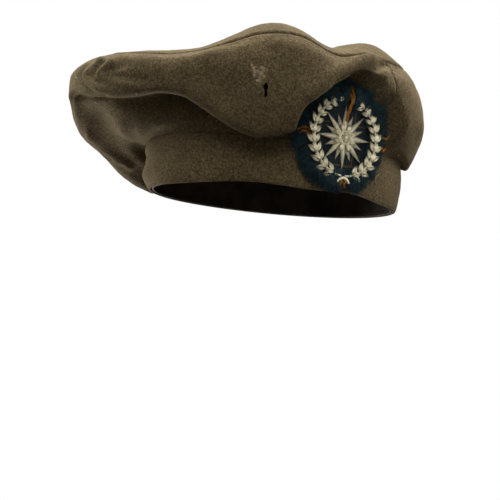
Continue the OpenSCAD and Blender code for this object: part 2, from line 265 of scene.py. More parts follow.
@dataclass(frozen=True)
class WovenCloth(Finish):
    """Plain-woven cloth on its own UV map: over-and-under threads, with a line of yarn at times.

    The weave is drawn a little coarser than cotton's, so that it shows.
    """

    dark: str
    pale: str
    line: str
    thread_mm: float = 0.9
    line_mm: float = 15.0
    line_share: float = 0.0
    fuzz_mm: float = 3.0
    sheen: float = 0.2

    def lay(self, tree: Tree, shader: Node) -> None:
        """Lay out warp, weft and the coloured lines.

        Args:
            tree: The material's nodes.
            shader: The one that they lead to.
        """
        where = add_node(tree, "UVMap", uv_map="cut").outputs["UV"]
        parts = add_node(tree, "SeparateXYZ", {"Vector": where})
        ribs, lines = [], []
        for axis in ("X", "Y"):
            turn = add_node(tree, "Math", {0: parts.outputs[axis]},
                            {1: math.pi * per_mm(self.thread_mm)}, operation="MULTIPLY")
            ribs.append(add_node(tree, "Math", {0: turn.outputs[0]}, operation="SINE").outputs[0])
            across = add_node(tree, "Math", {0: parts.outputs[axis]}, {1: self.line_mm * MM},
                              operation="PINGPONG")
            lines.append(add_node(tree, "Math", {0: across.outputs[0]},
                                  {1: self.line_share * self.line_mm * MM},
                                  operation="LESS_THAN").outputs[0])
        weave = add_node(tree, "Math", {0: ribs[0], 1: ribs[1]}, operation="MULTIPLY")
        fuzz = add_node(tree, "TexNoise", {"Vector": where},
                        {"Scale": per_mm(self.fuzz_mm), "Detail": 5.0, "Roughness": 0.7})
        tone = add_node(tree, "ValToRGB", {"Fac": fuzz.outputs["Fac"]},
                        stops=((0.35, self.dark), (0.7, self.pale)))
        over = add_node(tree, "Math", {0: weave.outputs[0]}, {1: -0.35}, operation="GREATER_THAN")
        either = add_node(tree, "Math", {0: lines[0], 1: lines[1]}, operation="MAXIMUM")
        shown = add_node(tree, "Math", {0: either.outputs[0], 1: over.outputs[0]},
                         operation="MULTIPLY")
        colour = add_node(tree, "Mix", {0: shown.outputs[0], 6: tone.outputs["Color"]},
                          {7: linear(self.line)}, data_type="RGBA")
        bump = add_node(tree, "Bump", {"Height": weave.outputs[0]},
                        {"Strength": 0.5, "Distance": 0.2 * MM})
        join(tree, shader, {"Base Color": colour.outputs[2], "Normal": bump.outputs["Normal"]},
             {"Roughness": 0.9, "Specular IOR Level": 0.2, "Sheen Weight": self.sheen,
              "Sheen Tint": linear(self.pale)})


@dataclass(frozen=True)
class Yarn(Finish):
    """Spun fibre: matt, uneven in shade along each strand, with a little nap."""

    dark: str
    pale: str
    shade_mm: float = 2.5
    sheen: float = 0.3

    def lay(self, tree: Tree, shader: Node) -> None:
        """Lay out the uneven shade.

        Args:
            tree: The material's nodes.
            shader: The one that they lead to.
        """
        where = add_node(tree, "TexCoord").outputs["Object"]
        shade = add_node(tree, "TexNoise", {"Vector": where},
                         {"Scale": per_mm(self.shade_mm), "Detail": 4.0, "Roughness": 0.7})
        tone = add_node(tree, "ValToRGB", {"Fac": shade.outputs["Fac"]},
                        stops=((0.36, self.dark), (0.66, self.pale)))
        bump = add_node(tree, "Bump", {"Height": shade.outputs["Fac"]},
                        {"Strength": 0.4, "Distance": 0.3 * MM})
        join(tree, shader, {"Base Color": tone.outputs["Color"], "Normal": bump.outputs["Normal"]},
             {"Roughness": 0.85, "Specular IOR Level": 0.2, "Sheen Weight": self.sheen,
              "Sheen Tint": linear(self.pale)})


@dataclass(frozen=True)
class OldMetal(Finish):
    """Struck or drawn metal gone dull: bright where hands rub it, tarnished in its hollows."""

    hollow: str
    rubbed: str
    rough: float = 0.4
    rougher: float = 0.22
    smoother: float = 0.08
    grain_mm: float = 1.1
    pitted: float = 0.3
    relief: bool = False
    speckled: float = 0.42

    def lay(self, tree: Tree, shader: Node) -> None:
        """Lay out the tarnish.

        Args:
            tree: The material's nodes.
            shader: The one that they lead to.
        """
        where = add_node(tree, "TexCoord").outputs["Object"]
        grain = add_node(tree, "TexNoise", {"Vector": where},
                         {"Scale": per_mm(self.grain_mm), "Detail": 5.0, "Roughness": 0.75})
        height = grain.outputs["Fac"]
        if self.relief:
            raised = add_node(tree, "Attribute", attribute_name="relief")
            height = add_node(tree, "Mix", {2: raised.outputs["Fac"], 3: height},
                              {0: self.speckled}).outputs[0]
        tone = add_node(tree, "ValToRGB", {"Fac": height},
                        stops=((0.28, self.hollow), (0.7, self.rubbed)))
        rough = add_node(tree, "MapRange", {"Value": height},
                         {"To Min": self.rough + self.rougher, "To Max": self.rough - self.smoother})
        bump = add_node(tree, "Bump", {"Height": grain.outputs["Fac"]},
                        {"Strength": self.pitted, "Distance": 0.3 * MM})
        join(tree, shader, {"Base Color": tone.outputs["Color"], "Roughness": rough.outputs["Result"],
                            "Normal": bump.outputs["Normal"]}, {"Metallic": 1.0})


WOOL = FeltedWool("felted wool, khaki", "#3d3321", "#5a4d37", "#7a6b50", "#a89878")
BAND_WOOL = FeltedWool("felted wool, khaki band", "#3f3523", "#60523a", "#837356", "#a29272")
LEATHER = Leather("vegetable-tanned leather", "#231a14", "#4a382a")
LINING = WovenCloth("black cotton sateen", "#0f0f10", "#26252a", "#26252a", thread_mm=0.7)
THREAD = Yarn("waxed cotton thread", "#26200f", "#5d5138", shade_mm=1.2)
PATCH = WovenCloth("woven worsted, dark green and blue", "#0a1013", "#152227", "#4a3d1e",
                   thread_mm=1.1, line_share=0.045)
FRINGE = Yarn("combed worsted fringe", "#070c0f", "#203a40", shade_mm=3.4, sheen=0.45)
OCHRE = Yarn("ochre wool yarn", "#5a3508", "#b5741c", shade_mm=1.0)
LINT = Yarn("pale cotton lint", "#8d826c", "#d6ccb4", shade_mm=1.0)
WHITE_METAL = OldMetal("struck white metal", "#2a261b", "#ada68f", rough=0.54, grain_mm=1.5,
                       pitted=0.9, relief=True)
COPPER = OldMetal("drawn copper wire", "#5d3620", "#b97c52")
BRASS = OldMetal("drawn brass", "#5f4a20", "#bf9d58")


def wrap(azimuth: Array) -> Array:
    """Bring azimuths into the half turn either side of the front."""
    return (azimuth + 180) % 360 - 180


def bearing(points: Array) -> Array:
    """Give the azimuth of points round the headband's middle."""
    return np.degrees(np.arctan2(points[..., 0], -points[..., 1]))


def waved(base: Array | float, waves: Waves, azimuth: Array) -> Array:
    """Add swells and dips to a ring.

    Args:
        base: The ring's value before its folds.
        waves: Azimuth, spread and amount of each fold.
        azimuth: Where to work it out.

    Returns:
        The value at each azimuth.
    """
    return base + sum(a * np.exp(-(wrap(azimuth - c) / s) ** 2) for c, s, a in waves)


def ramp(x: Array) -> Array:
    """Rise smoothly from 0 to 1."""
    t = np.clip(x, 0, 1)
    return t * t * (3 - 2 * t)


def unit(vectors: Array) -> Array:
    """Give vectors a length of 1."""
    return vectors / np.maximum(np.linalg.norm(vectors, axis=-1, keepdims=True), 1e-9)


def lengths(net: Array, axis: int = 1) -> Array:
    """Measure a net's lines of points along one of its axes."""
    return np.linalg.norm(np.diff(net, axis=axis), axis=2).sum(axis=axis)


def turned(r: Array, azimuth: Array, z: Array) -> Array:
    """Give the points at radii, azimuths in radians, and heights."""
    return np.stack([r * np.sin(azimuth), -r * np.cos(azimuth), z], axis=-1)


def spline(rings: Array, share: Array) -> Array:
    """Run a smooth curve through rings of points, without a loop where two of them are close.

    Args:
        rings: The rings in order, each a row of points.
        share: Shares of the way from the first ring to the last.

    Returns:
        A net with one run of points for each place round the rings.
    """
    last = len(rings) - 1
    x = np.minimum(share * last, last - 1e-6)
    i = x.astype(int)
    t = (x - i)[:, None, None]
    ends = np.concatenate([2 * rings[:1] - rings[1:2], rings, 2 * rings[-1:] - rings[-2:-1]])
    a, b, c, d = (ends[i + k] for k in range(4))
    longest = 2.0 * np.linalg.norm(c - b, axis=-1, keepdims=True)
    start, stop = ((q - p) / 2 for p, q in ((a, c), (b, d)))
    start, stop = (unit(m) * np.minimum(np.linalg.norm(m, axis=-1, keepdims=True), longest)
                   for m in (start, stop))
    run = b + t * (start + t * (3 * (c - b) - 2 * start - stop + t * (2 * (b - c) + start + stop)))
    return run.transpose(1, 0, 2)


def even(net: Array, count: int) -> Array:
    """Space the points of each run of a net evenly along it.

    Args:
        net: The runs of points.
        count: How many points each run gets.

    Returns:
        The new net.
    """
    run = np.cumsum(np.linalg.norm(np.diff(net, axis=1), axis=2), axis=1)
    run = np.pad(run, ((0, 0), (1, 0)))
    want = np.linspace(0, 1, count)
    rows = [[np.interp(want * r[-1], r, row[:, k]) for k in range(3)] for r, row in zip(run, net)]
    return np.array(rows).transpose(0, 2, 1)


def outward(net: Array, closed: bool = False) -> Array:
    """Find the outward direction at each point of a net.

    Args:
        net: Runs of points, ordered by azimuth.
        closed: Whether the last run is next to the first.

    Returns:
        A unit vector for each point.
    """
    if closed:
        across = np.roll(net, -1, axis=0) - np.roll(net, 1, axis=0)
    else:
        across = np.gradient(net, axis=0)
    normal = np.cross(across, np.gradient(net, axis=1))
    flat = np.linalg.norm(normal, axis=-1) < 1e-6
    normal[flat] = (0, 0, 1)
    return unit(normal)


def crumple(net: Array, sizes: Grades, seed: float) -> Array:
    """Work out how far limp cloth stands off its smooth shape.

    Args:
        net: Points of the cloth.
        sizes: Size and depth of each grade of crumple.
        seed: Offset into the noise.

    Returns:
        The height at each point.
    """
    flat = net.reshape(-1, 3)
    high = np.zeros(len(flat))
    for size, depth in sizes:
        high += [depth * noise.noise(Vector(p / size + seed)) for p in flat]
    return high.reshape(net.shape[:-1])


@dataclass(frozen=True)
class Sight:
    """The camera's stand, and where a point falls on its square frame of pixels."""

    azimuth: float = 36.0
    elevation: float = -6.6
    roll: float = 4.4
    distance: float = 1500.0
    target: tuple[float, float, float] = (0.0, 0.0, 18.0)
    pixel: Pair = (273.6, 178.0)
    per_mm: float = 1.328
    frame: float = 500.0
    sensor: float = 36.0
    far: float = 50.0

    def axes(self) -> tuple[Array, Array, Array, Array]:
        """Work out where the camera stands and how it is turned.

        Returns:
            Its place in millimetres, and its right, up and back directions.
        """
        a, e, r = (math.radians(x) for x in (self.azimuth, self.elevation, self.roll))
        back = np.array([math.sin(a) * math.cos(e), -math.cos(a) * math.cos(e), math.sin(e)])
        right = unit(np.cross(-back, (0, 0, 1)))
        up = np.cross(right, -back)
        right, up = right * math.cos(r) + up * math.sin(r), up * math.cos(r) - right * math.sin(r)
        eye = np.array(self.target) + back * self.distance
        aim = (np.array(self.target) + right * (self.frame / 2 - self.pixel[0]) / self.per_mm
               - up * (self.frame / 2 - self.pixel[1]) / self.per_mm)
        back = unit(eye - aim)
        right = unit(right - back * right.dot(back))
        return eye, right, np.cross(back, right), back

    def project(self, points: Array) -> Array:
        """Find the pixels that points fall on.

        Args:
            points: Points in millimetres.

        Returns:
            The pixel of each point.
        """
        eye, right, up, back = self.axes()
        rel = points - eye
        scale = self.per_mm * self.distance / -(rel @ back)
        return np.stack([self.frame / 2 + rel @ right * scale,
                         self.frame / 2 - rel @ up * scale], axis=-1)

    def facing(self, points: Array, normals: Array) -> Array:
        """Tell how squarely a surface faces the camera."""
        return np.sum(unit(self.axes()[0] - points) * normals, axis=-1)

    def ray(self, pixel: Pair) -> tuple[Vector, Vector]:
        """Find a pixel's line of sight.

        Args:
            pixel: The pixel.

        Returns:
            Where the line starts, in metres, and its direction.
        """
        eye, right, up, back = self.axes()
        x, y = ((p - self.frame / 2) / (self.per_mm * self.distance) for p in pixel)
        return Vector(eye * MM), Vector(unit(right * x - up * y - back))

    def place(self) -> None:
        """Make the camera."""
        eye, right, up, back = self.axes()
        data = bpy.data.cameras.new("camera")
        data.sensor_width = self.sensor
        data.lens = self.per_mm * self.distance * self.sensor / self.frame
        data.clip_end = self.far
        camera = bpy.data.objects.new("camera", data)
        turn = Matrix((right, up, back)).transposed().to_4x4()
        camera.matrix_world = Matrix.Translation(Vector(eye * MM)) @ turn
        bpy.context.scene.collection.objects.link(camera)
        bpy.context.scene.camera = camera


@dataclass(frozen=True)
class Crease:
    """A fold line of the cloth, along pixels of the camera's frame.

    Height is outwards, and negative for a valley. Low and high are the shares of the side's
    way up that it lies between, and tail is the last share of the path, over which it dies away.
    """

    path: Pixels
    width: float
    height: float
    low: float = 0.0
    high: float = 1.0
    tail: float = 0.0
    soft: float = 0.06

    def lift(self, pixels: Array, share: Array, per_mm_px: float) -> Array:
        """Work out the height that the fold adds.

        Args:
            pixels: The pixel of each point.
            share: Each point's share of the way up.
            per_mm_px: Pixels to a millimetre.

        Returns:
            The height at each point.
        """
        near, to_go = np.full(share.shape, np.inf), np.zeros(share.shape)
        ahead = whole = sum(math.dist(a, b) for a, b in zip(self.path, self.path[1:]))
        for a, b in zip(self.path, self.path[1:]):
            step = math.dist(a, b)
            a, b = np.array(a), np.array(b)
            t = np.clip((pixels - a) @ (b - a) / step ** 2, 0, 1)
            away = np.linalg.norm(pixels - a - t[..., None] * (b - a), axis=-1)
            to_go = np.where(away < near, (ahead - t * step) / whole, to_go)
            near = np.minimum(near, away)
            ahead -= step
        inside = ramp((share - self.low) / self.soft + 1) * ramp((self.high - share) / self.soft + 1)
        fade = ramp(to_go / self.tail) if self.tail else 1.0
        return self.height * np.exp(-(near / per_mm_px / self.width) ** 2) * inside * fade


@dataclass(frozen=True)
class Drape:
    """How the worn cloth lies on its headband: the rings that the side passes on its way up.

    The pairs from roll to lip are a ring's distance out from the headband or in from the bulge,
    and its height over the headband. The pocket's pairs are an azimuth and the width over which
    it opens or closes.
    """

    half_w: float
    half_l: float
    band_h: float
    crown_h: float = 92.0
    crown_rise: float = 6.0
    seam_r: float = 124.0
    bulge_r: float = 133.0
    bulge_z: float = 71.84
    edge_z: float = 35.4
    edge_in: float = 1.4
    roll: Pair = (1.2, 1.2)
    belly: Pair = (4.0, 3.0)
    tuck: Pair = (8.0, 8.0)
    lip: Pair = (2.0, 14.0)
    shoulder_share: Pair = (0.55, 0.38)
    shoulder_puff: Pair = (3.0, 1.0)
    pocket_from: Pair = (-61.0, 17.0)
    pocket_to: Pair = (56.0, 14.0)
    flop: float = 24.0
    pull: float = 9.0
    badge_az: float = 66.0
    badge_z: float = 41.0
    press_r: float = 41.0
    press_fade: float = 17.0
    press_rise: float = 1.08
    press_back: float = 14.0
    press_ahead: Pair = (0.45, 0.75)
    press_behind: Pair = (0.1, 0.6)
    press_tighter: float = 0.5
    press_looser: float = 0.4
    lean: float = 8.0
    lean_full: float = 20.0
    lean_off: float = 6.0
    lean_wide: float = 13.0
    net_rows: int = 300
    roll_out: Waves = ((-42, 16, 3.4), (12, 30, -0.6))
    roll_z: Waves = ((-42, 16, -2.6), (12, 30, 4))
    belly_out: Waves = ((-80, 46, 28), (-105, 24, 4), (12, 30, -3), (125, 18, -2))
    belly_z: Waves = ((-100, 42, -31), (12, 30, 9), (-58, 16, 10), (127, 18, -5))
    tuck_r: Waves = ((45, 45, -13), (-5, 35, -11), (-68, 25, -2), (-100, 40, -2), (120, 30, 4),
                     (127, 18, -1.8))
    tuck_z: Waves = ((-20, 40, 12), (48, 18, -4), (-105, 45, -18), (127, 20, -11))
    lip_r: Waves = ((45, 45, -4), (-100, 40, -4), (120, 30, 2), (-62, 16, 2))
    lip_z: Waves = ((-30, 38, 10), (30, 20, -10), (-105, 45, -14), (70, 16, 8),
                    (15, 15, 11), (44, 11, -10), (-45, 15, 13))
    pocket_in: Waves = ((14, 32, 34), (-46, 14, 1.5), (-18, 17, 10))
    pocket_up: Waves = ((14, 32, 7), (-46, 14, -3))
    bulge_out: Waves = ((40, 40, 3), (-55, 25, 1.4), (112, 25, 2.8))
    bulge_drop: Waves = ((-105, 45, -20), (112, 40, -9))
    shoulder_r: Waves = ((118, 28, -2),)
    seam_out: Waves = ((-60, 35, 5), (-10, 25, -4), (115, 25, -2))
    seam_z: Waves = ((46, 21, 16), (66, 9, -4), (12, 26, -5), (-40, 26, 2), (-62, 24, -5),
                     (-105, 50, -14), (93, 26, 11), (125, 22, 2), (2, 18, 1.6),
                     (80, 8, 2.3), (92, 9, -1.9))
    puff: Waves = ((46, 30, 9), (90, 24, 9), (180, 60, 4), (-50, 40, 3), (2, 14, 2.8), (78, 10, -5.6),
                   (92, 10, 2.2), (108, 12, 7.7))
    puff_h: float = 2.0
    puff_reach: float = 0.45

    def oval_r(self, azimuth: Array, off: Array | float) -> Array:
        """Give the headband's radius at an offset from its outer face."""
        a = np.radians(azimuth)
        return 1 / np.hypot(np.sin(a) / (self.half_w + off), np.cos(a) / (self.half_l + off))

    def oval(self, azimuth: Array, off: Array | float, z: Array | float) -> Array:
        """Give points round the headband."""
        r = self.oval_r(azimuth, off)
        return turned(r, np.radians(azimuth), z + 0 * r)

    def near_badge(self, azimuth: Array, turn: float) -> Array:
        """Tell how near azimuths are to the badge: 1 within a turn of it, 0 beyond two."""
        return ramp(2 - np.abs(wrap(azimuth - self.badge_az)) / turn)

    def crown(self, azimuth: Array, r: Array, z: Array) -> Array:
        """Give points round the flopped crown."""
        return turned(r, np.radians(azimuth), z + 0 * r) - (self.flop, self.pull, 0)

    def press(self, points: Array) -> Array:
        """Draw cloth in to the headband's curve round the badge.

        The pouch in front of the badge leans over it, and the cloth behind is let go sooner.

        Args:
            points: Points of the cloth.

        Returns:
            The points, moved.
        """
        azimuth = np.arctan2(points[..., 0], -points[..., 1])
        r = np.hypot(points[..., 0], points[..., 1])
        base = self.oval_r(np.degrees(azimuth), 0.0)
        arc = np.radians(wrap(np.degrees(azimuth) - self.badge_az)) * base
        rise = self.press_rise * (points[..., 2] - self.badge_z)
        away = np.maximum(np.hypot(arc, rise), 1e-6)
        ahead = ramp(self.press_ahead[0] - self.press_ahead[1] * arc / away)
        behind = ramp((arc / away - self.press_behind[0]) / self.press_behind[1])
        wide = self.press_fade * (1 - self.press_tighter * ahead + self.press_looser * behind)
        reach = self.press_r - self.press_back * behind
        over = np.maximum(r - base, 0)
        kept = over * (1 - ramp((reach + wide - away) / wide))
        push = self.lean * ahead * ramp(kept / self.lean_full) * np.exp(
            -((away - reach - self.lean_off) / self.lean_wide) ** 2)
        azimuth = azimuth - push * arc / away / base
        return turned(r - over + kept, azimuth, points[..., 2] - push * rise / away)

    def rings(self, azimuth: Array) -> Array:
        """List the rings from the headband up to the crown seam.

        Args:
            azimuth: Where to work them out.

        Returns:
            The rings in order, each a row of points.
        """
        az = azimuth
        bulge_r, bulge_z = waved(self.bulge_r, self.bulge_out, az), waved(self.bulge_z, self.bulge_drop, az)
        seam_r, seam_z = waved(self.seam_r, self.seam_out, az), waved(self.crown_h, self.seam_z, az)
        out, up = self.shoulder_share
        puff_out, puff_up = self.shoulder_puff
        shoulder = waved(seam_r + out * (bulge_r - seam_r) + puff_out, self.shoulder_r, az)
        lip_r = waved(self.bulge_r - self.lip[0], self.lip_r, az)
        lip_z = waved(self.band_h + self.lip[1], self.lip_z, az)
        tuck_r = waved(self.bulge_r - self.tuck[0], self.tuck_r, az)
        tuck_z = waved(self.band_h + self.tuck[1], self.tuck_z, az)
        opens = (wrap(az) - self.pocket_from[0]) / self.pocket_from[1]
        closes = (self.pocket_to[0] - wrap(az)) / self.pocket_to[1]
        pocket = ramp(opens) * ramp(closes)
        tuck_r = tuck_r + pocket * (lip_r - waved(0.0, self.pocket_in, az) - tuck_r)
        tuck_z = tuck_z + pocket * (lip_z + waved(0.0, self.pocket_up, az) - tuck_z)
        return np.stack([
            self.oval(az, -self.edge_in, self.edge_z),
            self.oval(az, waved(self.roll[0], self.roll_out, az),
                      waved(self.band_h + self.roll[1], self.roll_z, az)),
            self.oval(az, waved(self.belly[0], self.belly_out, az),
                      waved(self.band_h + self.belly[1], self.belly_z, az)),
            self.crown(az, tuck_r, tuck_z),
            self.crown(az, lip_r, lip_z),
            self.crown(az, bulge_r, bulge_z),
            self.crown(az, shoulder, seam_z + up * (bulge_z - seam_z) + puff_up),
            self.crown(az, seam_r, seam_z)])

    def side(self, azimuth: Array, count: int) -> Array:
        """Lay a net up the side."""
        smooth = spline(self.rings(azimuth), np.linspace(0, 1, self.net_rows))
        return even(self.press(smooth), count)

    def top(self, azimuth: Array, count: int) -> Array:
        """Lay a net from the crown seam in to the crown's middle.

        Args:
            azimuth: Where its runs start.
            count: How many points each run has.

        Returns:
            The net.
        """
        edge = self.rings(azimuth)[-1][:, None]
        t = np.linspace(0, 1, count)[None, :, None]
        mid = np.array([-self.flop, -self.pull, self.crown_h + self.crown_rise])
        net = edge * (1 - t) + mid * t
        swell = waved(self.puff_h, self.puff, azimuth)[:, None] * np.sin(
            np.pi * np.minimum(t[..., 0] / self.puff_reach, 1))
        net[..., 2] = (edge + (mid - edge) * ramp(t))[..., 2] + swell
        return net


def lay_sheet(net: Array, closed: bool = False, layers: tuple[str, ...] = ()) -> tuple[Mesh, dict]:
    """Lay a grid of cloth over a net.

    Args:
        net: Runs of points in millimetres.
        closed: Whether the last run lies on the first.
        layers: Names of the vertex layers that it gets.

    Returns:
        The mesh, whose UV map gives the lie of the cut cloth in metres, and its vertices by
        their place in the net, which hold only where it isn't closed.
    """
    rows, cols = net.shape[0] - 1, net.shape[1] - 1
    bm = bmesh.new()
    cut = bm.loops.layers.uv.new("cut")
    for layer in layers:
        bm.verts.layers.float.new(layer)
    bmesh.ops.create_grid(bm, x_segments=rows, y_segments=cols, size=0.5)
    wide, tall = (lengths(net, axis).mean() * MM for axis in (0, 1))
    for face in bm.faces:
        for loop in face.loops:
            x, y, _ = loop.vert.co
            loop[cut].uv = ((x + 0.5) * wide, (y + 0.5) * tall)
    grid = {}
    for vert in bm.verts:
        i, j = round((vert.co.x + 0.5) * rows), round((vert.co.y + 0.5) * cols)
        vert.co = net[i, j] * MM
        grid[i, j] = vert
    if closed:
        bmesh.ops.remove_doubles(bm, verts=bm.verts, dist=1e-6)
    return bm, grid


def spin_line(bm: Mesh, points: list, steps: int, closed: bool = False, merge: float = 1e-5) -> None:
    """Spin a line of points once round the upright axis.

    Args:
        bm: The mesh that gets it.
        points: The points of the line.
        steps: Steps in the turn.
        closed: Whether the line runs back to its start.
        merge: How close points are that become one.
    """
    line = [bm.verts.new(point) for point in points]
    after = line[1:] + line[:1] if closed else line[1:]
    edges = [bm.edges.new(pair) for pair in zip(line, after)]
    bmesh.ops.spin(bm, geom=line + edges, axis=(0, 0, 1), cent=(0, 0, 0), angle=math.tau,
                   steps=steps, use_merge=True)
    bmesh.ops.remove_doubles(bm, verts=bm.verts, dist=merge)


def lay_disc(net: Array, out: tuple | Array = (0, 0, 1), shift: float = 0.0) -> Mesh:
    """Lay a round of cloth over a net whose runs lead in to one middle point.

    Args:
        net: Runs of points in millimetres, one for each step of a full turn from the front.
        out: The way that its middle faces.
        shift: Where its middle lies in the cut cloth, in metres along both ways.

    Returns:
        The mesh, whose UV map gives the lie of the cut cloth in metres.
    """
    turns, last = net.shape[0], net.shape[1] - 1
    bm = bmesh.new()
    cut = bm.loops.layers.uv.new("cut")
    spin_line(bm, [(0, -1 + j / last, 0) for j in range(last + 1)], turns)
    bmesh.ops.recalc_face_normals(bm, faces=bm.faces)
    wide = lengths(net).mean() * MM
    for face in bm.faces:
        for loop in face.loops:
            loop[cut].uv = loop.vert.co.xy * wide + Vector((shift, shift))
    for vert in bm.verts:
        x, y, _ = vert.co
        i = round(math.atan2(x, -y) / math.tau * turns) % turns
        vert.co = net[i, round((1 - math.hypot(x, y)) * last)] * MM
    bmesh.ops.recalc_face_normals(bm, faces=bm.faces)
    middle = min(bm.faces, key=lambda f: (f.calc_center_median() - Vector(net[0, last] * MM)).length)
    if middle.normal.dot(Vector(out)) < 0:
        bmesh.ops.reverse_faces(bm, faces=bm.faces)
    return bm


def spin_oval(drape: Drape, profile: list[Pair], steps: int) -> Mesh:
    """Spin a closed profile round the headband's oval.

    Args:
        drape: The oval's shape.
        profile: Offset and height of each point.
        steps: Steps in the turn.

    Returns:
        The closed ring.
    """
    bm = bmesh.new()
    far = 100.0
    spin_line(bm, [(0, -(far + off), z) for off, z in profile], steps, True)
    bmesh.ops.recalc_face_normals(bm, faces=bm.faces)
    for vert in bm.verts:
        x, y, z = vert.co
        vert.co = drape.oval(np.array(math.degrees(math.atan2(x, -y))), math.hypot(x, y) - far, z) * MM
    return bm


def dress(mesh: bpy.types.Mesh, finish: Material) -> Piece:
    """Make a smooth object of a mesh, give it its finish and let it ride on the bonnet.

    Args:
        mesh: The mesh, whose name the object gets.
        finish: Its material.

    Returns:
        The new object.
    """
    mesh.shade_smooth()
    obj = bpy.data.objects.new(mesh.name, mesh)
    bpy.context.scene.collection.objects.link(obj)
    mesh.materials.append(finish)
    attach(obj, BONNET)
    return obj


def make_piece(name: str, bm: Mesh, finish: Material, node: str,
               thick: float = 0.0) -> Piece:
    """Turn a mesh into a piece that stands for a CAD node.

    Args:
        name: The piece's name.
        bm: Its mesh, which is used up.
        finish: Its material.
        node: The CAD node.
        thick: Thickness that a sheet gets, inwards from its outer face.

    Returns:
        The new object.
    """
    mesh = bpy.data.meshes.new(name)
    bm.to_mesh(mesh)
    bm.free()
    piece = dress(mesh, finish)
    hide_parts(node)
    if thick:
        wall = piece.modifiers.new("thickness", "SOLIDIFY")
        wall.thickness = thick * MM
        wall.offset = -1.0
    return piece


def make_strands(name: str, runs: list[Array], thick: float, finish: Material,
                 taper: float = 0.35) -> Piece:
    """Make a bunch of thin strands as one piece.

    Args:
        name: The piece's name.
        runs: The points in millimetres of each strand.
        thick: Diameter at the root.
        finish: Its material.
        taper: The tip's share of the root's diameter.

    Returns:
        The new object.
    """
    curve = bpy.data.curves.new(name, "CURVE")
    curve.dimensions = "3D"
    curve.bevel_depth = thick / 2 * MM
    curve.bevel_resolution = 0
    curve.use_fill_caps = True
    for run in runs:
        line = curve.splines.new("POLY")
        line.points.add(len(run) - 1)
        for point, place, t in zip(line.points, run, np.linspace(0, 1, len(run))):
            point.co = (*(place * MM), 1.0)
            point.radius = 1 - (1 - taper) * t
    loose = bpy.data.objects.new(name + "_curve", curve)
    bpy.context.scene.collection.objects.link(loose)
    graph = bpy.context.evaluated_depsgraph_get()
    mesh = bpy.data.meshes.new_from_object(loose.evaluated_get(graph))
    bpy.data.objects.remove(loose)
    bpy.data.curves.remove(curve)
    mesh.name = name
    return dress(mesh, finish)


# Fold lines of the pouch, by pixels of the camera's frame: its left end, the lip under that end,
# its right end over the badge, the cloth behind the badge, and a shallow valley in its middle
POUCH_FOLDS = (
    Crease(((95, 62), (84, 69), (80, 76), (83, 84), (91, 90), (102, 95)), 2.0, -1.6, 0.45, tail=0.3),
    Crease(((101, 60), (90, 66), (85, 74), (88, 82), (98, 88), (112, 93)), 2.4, 2.0, 0.45, tail=0.35),
    Crease(((104, 63), (96, 70), (93, 76), (98, 81), (109, 86)), 2.2, -2.0, 0.5, tail=0.35),
    Crease(((112, 62), (102, 69), (100, 74), (107, 79), (121, 82), (137, 86), (165, 91)), 2.6, 2.1, 0.5,
           tail=1.0),
    Crease(((122, 66), (112, 71), (113, 75), (126, 78), (150, 82), (185, 86)), 3.6, -1.6, 0.5, tail=0.7),
    Crease(((78, 97.4), (90, 98), (102, 97.4), (112, 96.4)), 2.2, -2.6, 0.15, 0.8, tail=0.3),
    Crease(((78, 92.8), (88, 93.4), (101, 92.8)), 3.0, 0.9, 0.15, 0.8, tail=0.4),
    Crease(((372, 57), (350, 65), (330, 78), (313, 93)), 7.0, 3.0, 0.5),
    Crease(((384, 64), (372, 70), (354, 77), (340, 84)), 4.5, -5.5, 0.45),
    Crease(((388, 66), (386, 84), (383, 96)), 4.5, 1.7, 0.4),
    Crease(((398, 66), (393, 80), (391, 98)), 4.5, -1.9, 0.4),
    Crease(((232, 44), (240, 60), (245, 80)), 9.0, -1.2, 0.6),
)
# Fold lines of the belly under the pouch, of the band's left end, and of the bulge's foot at the right
BELLY_FOLDS = (
    Crease(((81, 127), (89, 135), (97, 141), (108, 152), (117, 159), (130, 167)), 3.0, 2.4, 0.0, 0.5),
    Crease(((92, 148), (108, 158), (122, 168), (140, 182)), 2.4, -1.6, 0.0, 0.4),
    Crease(((114, 163), (126, 172), (138, 181), (152, 190)), 2.6, 2.0, 0.0, 0.4),
    Crease(((122, 126), (124, 138), (129, 148), (139, 159), (146, 163)), 4.6, 1.8, 0.0, 0.45),
    Crease(((132, 136), (141, 150), (148, 158)), 3.8, -1.9, 0.0, 0.4),
    Crease(((148, 147), (149, 153), (150, 158)), 1.5, -2.2, 0.0, 0.3),
    Crease(((151, 146), (152.5, 150), (154.5, 155)), 1.4, 2.0, 0.0, 0.3),
    Crease(((100, 112), (104, 128), (112, 142)), 8.0, -1.3, 0.05, 0.5),
    Crease(((389, 158), (393, 168), (396, 180)), 3.0, -2.0, 0.0, 0.4),
)
# The worn place's edges and its middle, where the nap is thin
WORN = (
    Crease(((251.6, 64.8), (254, 66.4), (257, 66.2)), 0.7, 0.6),
    Crease(((252.6, 66), (254.4, 70), (254, 73.5), (255.6, 78), (258.5, 82)), 0.8, 0.6),
    Crease(((261, 67.2), (267.2, 67.8), (266, 74), (263, 78.5)), 0.6, 0.3),
    Crease(((257.5, 70), (263, 71), (259.6, 78)), 2.9, 0.36),
)
WORN_MIDDLE = (259.5, 74.0)
SLIT = ((265.3, 83.0), (268.0, 97.0))
MOTH_HOLE = (260.0, 96.0)


